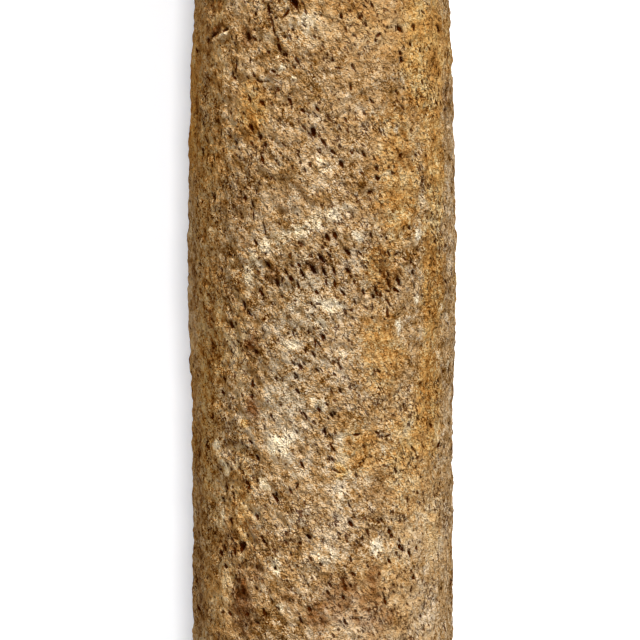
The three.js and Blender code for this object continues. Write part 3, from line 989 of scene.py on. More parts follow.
@dataclass(frozen=True)
class StoneForm:
    """The stone's form, which is that of the CAD: a barrel with rounded ends, struck flakes and a socket."""

    length: float = 310 * MM
    foot_flat: float = 28 * MM
    foot_round: float = 27 * MM
    butt_flat: float = 31 * MM
    butt_round: float = 17 * MM
    shoulder: float = 44 * MM
    lower: float = 46.3 * MM
    socket_depth: float = 85 * MM
    socket_mouth: float = 23 * MM
    socket_floor: float = 18.4 * MM
    girth: float = 47.5 * MM
    sides: int = 244
    crowding: float = 0.6
    ring_step: float = 0.78 * MM
    end_step: float = 1.7 * MM
    least_step: float = 0.3 * MM
    fine_below_top: float = 38 * MM
    foot_rings: int = 18
    foot_round_rings: int = 26
    butt_round_rings: int = 16
    rim_rings: int = 6
    socket_rings: int = 10
    floor_rings: int = 4
    oval_swing: float = 0.35
    lobe_swing: float = 0.2
    wave_swing: float = 0.15
    wave_length: float = 74 * MM
    stations: tuple[tuple[float, float], ...] = (
        (27, 46.3), (70, 46.3), (112, 46.3), (158, 47.4), (185, 47.5), (212, 47.4), (270, 45.25), (293, 44),
    )
    flakes: tuple[Flake, ...] = (
        Flake(24, 12, 1.9, 52, 44),
        Flake(118, 19, 2.5, 44, 62),
        Flake(205, 10, 1.5, 38, 40),
        Flake(258, 16, 2.1, 60, 50),
        Flake(328, 14, 1.3, 36, 46),
        Flake(72, 300, 1.6, 48, 40),
        Flake(214, 302, 1.9, 40, 52),
    )
    scoop_rounding: float = 11 * MM

    def side_radius(self, height: float) -> float:
        """The radius of the stone's side at a height, by a smooth curve through its stations.

        Args:
            height: Metres above the foot.

        Returns:
            The radius in metres.
        """
        points = [(h * MM, r * MM) for h, r in self.stations]
        last = len(points) - 2
        index = min(max(sum(h <= height for h, _ in points) - 1, 0), last)
        (h0, r0), (h1, r1) = points[index], points[index + 1]

        def slope(i: int) -> float:
            """How fast the radius changes at a station."""
            low, high = points[max(i - 1, 0)], points[min(i + 1, len(points) - 1)]
            return (high[1] - low[1]) / (high[0] - low[0])

        span = h1 - h0
        t = (height - h0) / span
        return ((2 * t ** 3 - 3 * t ** 2 + 1) * r0 + (t ** 3 - 2 * t ** 2 + t) * span * slope(index)
                + (3 * t ** 2 - 2 * t ** 3) * r1 + (t ** 3 - t ** 2) * span * slope(index + 1))

    def outline(self) -> list[tuple[float, float]]:
        """The stone's outline, from the middle of the foot over the butt to the socket's floor.

        Returns:
            The radius and height of each point, in metres.
        """
        points = [(self.foot_flat * i / self.foot_rings, 0.0) for i in range(self.foot_rings)]
        for i in range(self.foot_round_rings):
            angle = math.pi / 2 * i / self.foot_round_rings
            points.append((self.foot_flat + (self.lower - self.foot_flat) * math.sin(angle),
                           self.foot_round * (1 - math.cos(angle))))
        height = self.foot_round
        top = self.length - self.butt_round
        while height < top - self.least_step:
            points.append((self.side_radius(height), height))
            in_photo = PHOTO.bottom_height < height < self.length - self.fine_below_top
            height += self.ring_step if in_photo else self.end_step
        for i in range(self.butt_round_rings + 1):
            angle = math.pi / 2 * i / self.butt_round_rings
            points.append((self.butt_flat + (self.shoulder - self.butt_flat) * math.cos(angle),
                           top + self.butt_round * math.sin(angle)))
        rim = self.socket_mouth - self.butt_flat
        points += [(self.butt_flat + rim * i / self.rim_rings, self.length)
                   for i in range(1, self.rim_rings + 1)]
        taper = self.socket_floor - self.socket_mouth
        points += [(self.socket_mouth + taper * i / self.socket_rings,
                    self.length - self.socket_depth * i / self.socket_rings)
                   for i in range(1, self.socket_rings + 1)]
        floor = self.length - self.socket_depth
        points += [(self.socket_floor * (1 - i / self.floor_rings), floor)
                   for i in range(1, self.floor_rings + 1)]
        return points

    def dressing(self, turn: float, height: float) -> float:
        """How far the hand-dressed side stands out of round.

        Args:
            turn: Radians from +X.
            height: Metres above the foot.

        Returns:
            Metres outwards.
        """
        oval = self.oval_swing * math.sin(2 * turn)
        lobes = self.lobe_swing * math.sin(3 * turn + FULL_TURN * height / self.length)
        waves = self.wave_swing * math.sin(FULL_TURN * height / self.wave_length + 2 * math.sin(turn))
        return (oval + lobes + waves) * MM

    def crowd_forward(self, bm: bmesh.types.BMesh) -> None:
        """Crowd the columns of vertices towards the front, where the finest marks are.

        Args:
            bm: The stone.
        """
        for vert in bm.verts:
            radius = math.hypot(vert.co.x, vert.co.y)
            turn = math.atan2(vert.co.x, -vert.co.y)
            turn -= self.crowding * math.sin(turn)
            vert.co.x = radius * math.sin(turn)
            vert.co.y = -radius * math.cos(turn)

    def in_socket(self, point: Vector) -> bool:
        """Whether a point is on the socket's wall or floor."""
        below = point.z <= self.length - self.socket_depth - MM
        return not below and math.hypot(point.x, point.y) < self.socket_mouth + 0.05 * MM

    def flake_depth(self, point: Vector) -> float:
        """How deep the struck flakes cut at a point, in metres.

        Args:
            point: A point on the whole stone.

        Returns:
            The deepest cut there.
        """
        deepest = 0.0
        radius = math.hypot(point.x, point.y)
        for flake in self.flakes:
            turn = math.radians(flake.turn)
            aside = -point.x * math.sin(turn) + point.y * math.cos(turn)
            out = point.x * math.cos(turn) + point.y * math.sin(turn)
            above = point.z - flake.height * MM
            share = (aside / (flake.width / 2 * MM)) ** 2 + (above / (flake.tall / 2 * MM)) ** 2
            if out <= 0 or share >= 1:
                continue
            surface = self.outer_radius(flake.height * MM)
            face = surface + self.scoop_rounding * (1 - math.sqrt(1 - share)) - flake.bite * MM
            deepest = max(deepest, (out - face) * out / max(radius, MM))
        return deepest

    def outer_radius(self, height: float) -> float:
        """The radius of the undamaged stone at any height.

        Args:
            height: Metres above the foot.

        Returns:
            The radius in metres.
        """
        top = self.length - self.butt_round
        if height < self.foot_round:
            part = 1 - height / self.foot_round
            return self.foot_flat + (self.lower - self.foot_flat) * math.sqrt(max(1 - part * part, 0))
        if height > top:
            part = (height - top) / self.butt_round
            return self.butt_flat + (self.shoulder - self.butt_flat) * math.sqrt(max(1 - part * part, 0))
        return self.side_radius(height)

    def surface_point(self, turn: float, height: float) -> Vector:
        """A point on the undamaged stone."""
        radius = self.outer_radius(height)
        return Vector((radius * math.sin(turn), -radius * math.cos(turn), height))


@dataclass(frozen=True)
class StoneSkin:
    """The stone's own unevenness: heights in millimetres, and pitches in waves to the metre."""

    swell: float = 0.34
    swell_pitch: float = 45
    knapping: float = 0.72
    knap_pitch: float = 150
    knap_shift: Triple = (7, 3, 1)
    grit: float = 0.2
    grit_pitch: float = 520
    fine_grit: float = 0.7
    fine_grit_pitch: float = 900
    stroke_ridges: float = 0.8
    pitch_across: float = 430
    pitch_along: float = 240
    lineation: float = 33.0
    front_fade: float = 70 * MM

    def roughness(self, point: Vector) -> float:
        """How far the skin stands out at a point.

        Args:
            point: A point on the stone.

        Returns:
            Metres outwards.
        """
        swell = clouds(point * self.swell_pitch, fade=0.9, step=2.1)
        knaps = clouds(point * self.knap_pitch + Vector(self.knap_shift), fade=0.8, step=2.1)
        grit = noise.noise(point * self.grit_pitch)
        grit += self.fine_grit * noise.noise(point * self.fine_grit_pitch)
        lean = math.radians(self.lineation)
        along = (point.z * math.cos(lean) - point.x * math.sin(lean)) * self.pitch_along
        across = (point.x * math.cos(lean) + point.z * math.sin(lean)) * self.pitch_across
        strokes = noise.noise(Vector((across, point.y * self.pitch_across, along)))
        fronting = smooth(0.5 - point.y / self.front_fade)
        return (self.swell * swell + self.knapping * knaps + self.grit * grit
                + self.stroke_ridges * fronting * strokes) * MM


@dataclass
class StoneHead:
    """The pestle's stone: its form and skin, with hollows cut and patches laid."""

    form: StoneForm = StoneForm()
    skin: StoneSkin = StoneSkin()
    seed: int = 41
    slimness: float = 0.74
    narrow_mark: float = 0.85 * MM
    narrow_depth: float = 0.5
    mark_edge: float = 1.25
    mark_fray: float = 0.2
    mark_fray_pitch: float = 900
    raise_gain: float = 1.4
    patch_edge: float = 1.3
    patch_fray: float = 0.3
    patch_fray_pitch: float = 260
    spread_edge: float = 1.6
    spread_reach: float = 0.8
    hollow_reach: float = 5 * MM
    hollow_full_depth: float = 1.1 * MM
    hollow_neighbours: int = 6
    hollow_far: float = 3.0
    hollow_none: Triple = (9, 9, 0)
    pores: int = 4200
    pore_margins: tuple[float, float] = (2 * MM, 3 * MM)
    pore_crowd: float = 0.5
    pore_crowd_swing: float = 0.9
    pore_crowd_pitch: float = 38
    pore_width: float = 0.58 * MM
    pore_variety: float = 0.36
    pore_stretch: tuple[float, float] = (1.2, 2.4)
    pore_depth: float = 0.75
    pore_wander: float = 13.0
    seen_turn: float = math.radians(68)
    far_margins: tuple[float, float] = (4 * MM, 5 * MM)
    far_marks: int = 320
    far_length: tuple[float, float] = (1.8, 4.6)
    far_width: tuple[float, float] = (0.7, 1.5)
    far_depth: tuple[float, float] = (0.5, 1.1)
    far_wander: float = 16.0
    far_slimness: tuple[float, float] = (0.45, 0.9)
    far_lean: tuple[float, float] = (-60, 80)
    socket_tooling: float = 0.12 * MM
    socket_tooling_pitch: float = 300
    socket_ease: float = 0.1 * MM
    proud_of_top: float = 0.3 * MM

    def spread(self, tree: KDTree, oval: Oval) -> list[tuple[int, float]]:
        """Find the vertices under and about an oval.

        Args:
            tree: The stone's vertices.
            oval: The oval.

        Returns:
            Each vertex's index, and how far out it lies, where 1 is the oval's edge.
        """
        found = []
        for point, index, _ in tree.find_range(oval.middle, self.spread_reach * oval.reach):
            out = math.hypot(*oval.spot(point))
            if out < self.spread_edge:
                found.append((index, out))
        return found

    def oval_at(self, spot: Mark | Patch, weight: float) -> Oval:
        """Lay an oval where the photograph shows a mark or a patch.

        Args:
            spot: The mark or patch.
            weight: How deep or how strong it is.

        Returns:
            The oval on the stone.
        """
        turn, height = PHOTO.place(spot.column, spot.row)
        middle = self.form.surface_point(turn, height)
        slim = self.slimness if isinstance(spot, Mark) else 1.0
        return Oval(middle, turn, spot.length * MM, slim * spot.width * MM, spot.lean, weight)

    def scatter(self) -> list[Oval]:
        """Scatter the small pores that cover the stone, crowded in some places, the same on every run.

        Returns:
            The pores.
        """
        draw = random.Random(self.seed)
        low, high = self.pore_margins
        pores = []
        while len(pores) < self.pores:
            turn = draw.uniform(-math.pi, math.pi)
            height = draw.uniform(low, self.form.length - high)
            middle = self.form.surface_point(turn, height)
            crowd = self.pore_crowd + self.pore_crowd_swing * noise.noise(middle * self.pore_crowd_pitch)
            if draw.random() > crowd:
                continue
            width = self.pore_width * draw.lognormvariate(0, self.pore_variety)
            length = width * draw.uniform(*self.pore_stretch)
            lean = self.skin.lineation * math.cos(turn) + draw.gauss(0, self.pore_wander)
            pores.append(Oval(middle, turn, length, width, lean, self.pore_depth * width))
        return pores

    def unseen(self, draw: random.Random) -> tuple[float, float]:
        """Draw a place on the stone that the photograph doesn't show.

        Args:
            draw: Where the chance comes from.

        Returns:
            The turn from the front in radians, and the height in metres.
        """
        low, high = self.far_margins
        while True:
            turn = draw.uniform(-math.pi, math.pi)
            height = draw.uniform(low, self.form.length - high)
            in_frame = PHOTO.bottom_height < height < PHOTO.bottom_height + PHOTO.side * PHOTO.scale
            if abs(turn) > self.seen_turn or not in_frame:
                return turn, height

    def unseen_marks(self) -> list[Oval]:
        """Scatter gouges and pits over the sides, the back and the ends, the same on every run.

        Returns:
            The gouges and pits.
        """
        draw = random.Random(self.seed + 1)
        marks = []
        for _ in range(self.far_marks):
            turn, height = self.unseen(draw)
            length = draw.uniform(*self.far_length) * MM
            width = draw.uniform(*self.far_width) * MM
            lean = self.skin.lineation * math.cos(turn) + draw.gauss(0, self.far_wander)
            depth = draw.uniform(*self.far_depth) * MM
            middle = self.form.surface_point(turn, height)
            marks.append(Oval(middle, turn, length, width, lean, depth))
        return marks

    def unseen_patches(self) -> list[tuple[Tint, Oval]]:
        """Scatter patches of every tint where the photograph doesn't reach, the same on every run.

        Returns:
            Each patch with its tint.
        """
        draw = random.Random(self.seed + 2)
        patches = []
        for tint, far in FAR_TINTS.items():
            for _ in range(far.count):
                turn, height = self.unseen(draw)
                length = draw.uniform(far.small, far.large) * MM
                width = length * draw.uniform(*self.far_slimness)
                lean = draw.uniform(*self.far_lean)
                strength = draw.uniform(far.weak, far.strong)
                middle = self.form.surface_point(turn, height)
                patches.append((tint, Oval(middle, turn, length, width, lean, strength)))
        return patches

    def build(self) -> bpy.types.Object:
        """Model the stone and dress it.

        Returns:
            The stone's object.
        """
        bm = spun(self.form.outline(), self.form.sides)
        self.form.crowd_forward(bm)
        bm.normal_update()
        bm.verts.ensure_lookup_table()
        layers = {tint: bm.verts.layers.float.new(tint.value) for tint in Tint}
        tree = KDTree(len(bm.verts))
        for vert in bm.verts:
            tree.insert(vert.co, vert.index)
        tree.balance()
        sink = [0.0] * len(bm.verts)
        self.cut_marks(bm, tree, sink)
        self.paint(bm, tree, layers)
        self.carve(bm, sink)
        piece = finished(bm, "pestle_stone", StoneFinish().material())
        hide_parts("stone_head")
        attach(piece, Body.HEAD.value)
        return piece

    def cut_marks(self, bm: bmesh.types.BMesh, tree: KDTree, sink: list[float]) -> None:
        """Work out how deep every pit, crack and pick mark goes, and map it for the painted shadow on its
        floor.

        Args:
            bm: The stone.
            tree: Its vertices.
            sink: Depth at each vertex, which is filled in.
        """
        hollows = [self.oval_at(mark, mark.depth * MM) for mark in UPPER_MARKS + PICK_MARKS + LOWER_MARKS]
        hollows += self.unseen_marks() + self.scatter()
        for oval in hollows:
            depth = oval.weight if oval.width > self.narrow_mark else self.narrow_depth * oval.weight
            for index, out in self.spread(tree, oval):
                fray = noise.noise(bm.verts[index].co * self.mark_fray_pitch)
                edge = self.mark_edge - (out + self.mark_fray * fray)
                sink[index] = max(sink[index], depth * smooth(edge))
        for patch in RAISED_PATCHES:
            for index, out in self.spread(tree, self.oval_at(patch, patch.strength)):
                sink[index] -= self.raise_gain * patch.strength * MM * smooth(self.patch_edge - out)
        self.map_hollows(bm, hollows)

    def map_hollows(self, bm: bmesh.types.BMesh, hollows: list[Oval]) -> None:
        """Give each face's corners their place in the hollow that holds it, so that the edge of its painted
        shadow shows sharp.

        Args:
            bm: The stone.
            hollows: Its hollows.
        """
        layer = bm.loops.layers.float_vector.new(HOLLOW)
        tree = KDTree(len(hollows))
        for index, oval in enumerate(hollows):
            tree.insert(oval.middle, index)
        tree.balance()
        clear = Vector(self.hollow_none)
        for face in bm.faces:
            centre = face.calc_center_median()
            nearest, least = None, self.hollow_far
            for _, index, away in tree.find_n(centre, self.hollow_neighbours):
                if away > self.hollow_reach:
                    break
                out = math.hypot(*hollows[index].spot(centre))
                if out < least:
                    nearest, least = hollows[index], out
            for loop in face.loops:
                if nearest is None:
                    loop[layer] = clear
                else:
                    deep = min(nearest.weight / self.hollow_full_depth, 1)
                    loop[layer] = Vector((*nearest.spot(loop.vert.co), deep))

    def paint(self, bm: bmesh.types.BMesh, tree: KDTree, layers: dict[Tint, bmesh.types.BMLayerItem]) -> None:
        """Lay the patches of every tint.

        Args:
            bm: The stone.
            tree: Its vertices.
            layers: The attributes by tint.
        """
        laid = [(tint, self.oval_at(patch, patch.strength))
                for tint, patches in PATCHES.items() for patch in patches]
        for tint, oval in laid + self.unseen_patches():
            for index, out in self.spread(tree, oval):
                vert = bm.verts[index]
                fray = clouds(vert.co * self.patch_fray_pitch, fade=0.8, step=2.0)
                share = oval.weight * smooth(self.patch_edge - (out + self.patch_fray * fray))
                vert[layers[tint]] = max(vert[layers[tint]], share)

    def carve(self, bm: bmesh.types.BMesh, sink: list[float]) -> None:
        """Move the stone's skin out of round, roughen it, and sink its hollows.

        Args:
            bm: The stone.
            sink: Depth at each vertex.
        """
        moved = []
        for vert in bm.verts:
            point = vert.co
            if self.form.in_socket(point):
                tooled = self.socket_tooling * noise.noise(point * self.socket_tooling_pitch)
                moved.append(point + vert.normal * (tooled - self.socket_ease))
                continue
            turn = math.atan2(point.y, point.x)
            outwards = Vector((math.cos(turn), math.sin(turn), 0))
            swing = self.form.dressing(turn, point.z) * math.hypot(point.x, point.y) / self.form.girth
            place = point + outwards * (swing - self.form.flake_depth(point))
            place += vert.normal * (self.skin.roughness(point) - sink[vert.index])
            place.z = min(max(place.z, 0.0), self.form.length + self.proud_of_top)
            moved.append(place)
        for vert, place in zip(bm.verts, moved):
            vert.co = place


@dataclass
class Haft:
    """The wooden haft: a tenon in the stone, a waisted grip and a rounded pommel."""

    stone_top: float = 310 * MM
    socket_floor: float = 225 * MM
    seat_gap: float = 0.3 * MM
    shaft: float = 18 * MM
    straight: float = 34 * MM
    waist: float = 17 * MM
    waist_height: float = 122 * MM
    pommel: float = 20.5 * MM
    pommel_length: float = 34 * MM
    grip: float = 220 * MM
    chamfer: float = 3 * MM
    sides: int = 120
    step: float = 2.2 * MM
    tenon_rings: int = 6
    chamfer_rings: int = 3
    pommel_rings: int = 24
    grip_start: float = 45 * MM
    grip_ease: float = 45 * MM
    grip_below_top: float = 14 * MM
    grip_ease_out: float = 40 * MM
    flat_count: int = 9
    flat_depth: float = 0.22
    flat_middle: float = 0.64
    flat_left: float = 0.3
    flat_twist: float = 0.12
    twist_pitch: float = 31
    wobble: float = 0.2
    wobble_pitch: float = 55
    dent_depth: float = 0.35 * MM
    dent_pitch: float = 120
    dent_shift: Triple = (3, 9, 2)
    dent_start: float = 0.42
    check_count: int = 5
    check_turn: float = 0.8
    check_depth: float = 0.9 * MM
    check_length: float = 26 * MM
    check_ease: float = 20 * MM
    check_heart: float = 3 * MM
    check_width: float = 0.09
    seat_share: float = 0.25
    seat_ease: float = 0.1 * MM
    dust_height: float = 26 * MM
    dust_ease: float = 24 * MM

    def radius(self, height: float) -> float:
        """The haft's radius at a height below its pommel's crown.

        Args:
            height: Metres above the foot.

        Returns:
            The radius in metres.
        """
        start = self.stone_top + self.straight
        waist = self.stone_top + self.waist_height
        crown = self.stone_top + self.grip - self.pommel_length / 2
        if height < waist:
            return self.shaft + (self.waist - self.shaft) * smooth((height - start) / (waist - start))
        return self.waist + (self.pommel - self.waist) * smooth(0.5 * (height - waist) / (crown - waist)) * 2

    def outline(self) -> list[tuple[float, float]]:
        """The haft's outline from the tenon's end to the pommel's top.

        Returns:
            The radius and height of each point, in metres.
        """
        low = self.socket_floor + self.seat_gap
        crown = self.stone_top + self.grip - self.pommel_length / 2
        end, bevel = self.tenon_rings, self.chamfer_rings
        points = [((self.shaft - self.chamfer) * i / end, low) for i in range(end + 1)]
        points += [(self.shaft - self.chamfer * (1 - i / bevel), low + self.chamfer * i / bevel)
                   for i in range(1, bevel + 1)]
        height = low + self.chamfer + self.step
        while height < crown - self.step / 2:
            points.append((self.radius(height), height))
            height += self.step
        for i in range(self.pommel_rings + 1):
            angle = math.pi / 2 * i / self.pommel_rings
            points.append((self.pommel * math.cos(angle), crown + self.pommel_length / 2 * math.sin(angle)))
        return points

    def gripped(self, height: float) -> float:
        """How much a hand has worn the haft at a height.

        Args:
            height: Metres above the foot.

        Returns:
            The wear, from 0 to 1.
        """
        above_stone = height - self.stone_top
        below_top = self.grip - above_stone
        risen = smooth((above_stone - self.grip_start) / self.grip_ease)
        return risen * smooth((below_top - self.grip_below_top) / self.grip_ease_out)

    def flats(self, point: Vector, turn: float) -> float:
        """The long shallow flats of the drawknife and the haft's own wobble.

        Args:
            point: A point on the haft.
            turn: Radians from +X.

        Returns:
            Metres outwards.
        """
        bent = turn + self.flat_twist * math.sin(point.z * self.twist_pitch)
        drift = 1.4 * noise.noise(Vector((0, 0, point.z * 14)))
        facets = abs(math.sin(self.flat_count / 2 * bent + drift))
        cut = 0.5 + 0.9 * noise.noise(Vector((2 * math.cos(turn), 2 * math.sin(turn), point.z * 17)))
        left = 1 - (1 - self.flat_left) * self.gripped(point.z)
        shaved = self.flat_depth * (facets - self.flat_middle) * max(cut, 0.0) * left
        return (shaved + self.wobble * clouds(point * self.wobble_pitch, fade=0.9, step=2.0)) * MM

    def end_checks(self, point: Vector, turn: float) -> float:
        """How deep the drying checks of the pommel are.

        Args:
            point: A point on the haft.
            turn: Radians from +X.

        Returns:
            Metres inwards.
        """
        top = self.stone_top + self.grip
        if point.z <= top - self.pommel_length:
            return 0.0
        bent = self.check_count / 2 * turn + self.check_turn + 0.4 * noise.noise(point * 90)
        reach = smooth((point.z - top + self.check_length) / self.check_ease)
        reach *= smooth(math.hypot(point.x, point.y) / self.check_heart)
        return self.check_depth * reach * smooth(1 - abs(math.sin(bent)) / self.check_width)

    def shave(self, bm: bmesh.types.BMesh) -> None:
        """Cut the haft's flats, dents and checks, and note its wear and its dust.

        Args:
            bm: The haft.
        """
        bm.normal_update()
        wear = bm.verts.layers.float.new(WEAR)
        dust = bm.verts.layers.float.new(DUST)
        moved = []
        for vert in bm.verts:
            point = vert.co
            turn = math.atan2(point.y, point.x)
            struck = noise.noise(point * self.dent_pitch + Vector(self.dent_shift))
            dents = self.dent_depth * smooth((struck - self.dent_start) * 5)
            outwards = self.flats(point, turn) - dents
            if point.z < self.stone_top:
                outwards = self.seat_share * outwards - self.seat_ease
            moved.append(point + vert.normal * (outwards - self.end_checks(point, turn)))
            vert[wear] = self.gripped(point.z) * (0.75 + 0.25 * noise.noise(point * 60))
            vert[dust] = smooth((self.stone_top + self.dust_height - point.z) / self.dust_ease)
        for vert, place in zip(bm.verts, moved):
            vert.co = place

    def build(self) -> bpy.types.Object:
        """Model the haft and dress it.

        Returns:
            The haft's object.
        """
        bm = spun(self.outline(), self.sides)
        self.shave(bm)
        piece = finished(bm, "wooden_haft", HAFT_FINISH.material())
        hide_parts("haft")
        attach(piece, Body.HANDLE.value)
        return piece


@dataclass(frozen=True)
class SocketWedge:
    """One split wedge between the tenon and the socket's wall."""

    number: int
    turn: float
    stand: float
    arc: float = 44.0
    driven: float = 52 * MM
    inside: float = 18.3 * MM
    gap: float = 0.3 * MM
    bevel: float = 0.05
    cuts: int = 5
    bruised_from: float = 0.93
    tip_width: float = 0.86
    mushrooming: float = 0.05
    split_pitch: float = 260
    split_run: float = 22
    splintering: float = 0.25 * MM
    bruising: float = 0.7 * MM
    dusting: float = 0.35

    def outside(self, height: float, stone: StoneForm) -> float:
        """The radius of the wedge's outer face at a height."""
        share = (height - stone.length + stone.socket_depth) / stone.socket_depth
        return stone.socket_floor + (stone.socket_mouth - stone.socket_floor) * share - self.gap

    def build(self, stone: StoneForm, material: bpy.types.Material) -> bpy.types.Object:
        """Model the wedge and dress it.

        Args:
            stone: The form of the stone whose socket it is driven into.
            material: The wedge's finish.

        Returns:
            The wedge's object.
        """
        bm = bmesh.new()
        bmesh.ops.create_cube(bm, size=1)
        bmesh.ops.bevel(bm, geom=bm.edges[:], offset=self.bevel, affect="EDGES", segments=2, profile=0.5,
                        material=-1)
        bmesh.ops.subdivide_edges(bm, edges=bm.edges[:], cuts=self.cuts, use_grid_fill=True)
        tip = stone.length - self.driven
        head = stone.length + self.stand * MM
        for vert in bm.verts:
            across, thick, along = vert.co + Vector((0.5, 0.5, 0.5))
            height = tip + (head - tip) * along
            mushroom = smooth((along - self.bruised_from) / (1 - self.bruised_from))
            narrow = self.tip_width + (1 - self.tip_width) * along + self.mushrooming * mushroom
            turn = math.radians(self.turn + self.arc * (across - 0.5) * narrow)
            radius = self.inside + (self.outside(height, stone) - self.inside) * thick
            point = Vector((radius * math.cos(turn), radius * math.sin(turn), height))
            fibre = point * self.split_pitch
            fibre.z = point.z * self.split_run
            split = clouds(fibre, fade=0.9, step=2.0)
            above = smooth((height - stone.length - MM) / (2 * MM))
            outwards = Vector((math.cos(turn), math.sin(turn), 0))
            point += outwards * (self.splintering * split * above)
            bruise = noise.noise(point * self.split_pitch + Vector((self.number, 0, 0)))
            point.z += self.bruising * mushroom * bruise
            vert.co = point
        for name, value in ((WEAR, 0.0), (DUST, self.dusting)):
            layer = bm.verts.layers.float.new(name)
            for vert in bm.verts:
                vert[layer] = value
        piece = finished(bm, f"driven_wedge_{self.number}", material)
        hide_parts(f"socket_wedge_{self.number}")
        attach(piece, Body.HANDLE.value)
        return piece


WEDGES = (
    SocketWedge(1, 14, 7.5),
    SocketWedge(2, 101, 6.0),
    SocketWedge(3, 196, 8.5),
    SocketWedge(4, 288, 6.8),
)


@dataclass(frozen=True)
class Paper:
    """A sheet's paper: the light it gives back, and the glow that the camera sees, so that it is white."""

    name: str
    white: float
    lift: float


@dataclass(frozen=True)
class SoftLamp:
    """A square soft lamp: its watts, the side of its square in metres, where it hangs and its colour."""

    name: str
    power: float
    size: float
    place: Triple
    tint: Triple = WHITE


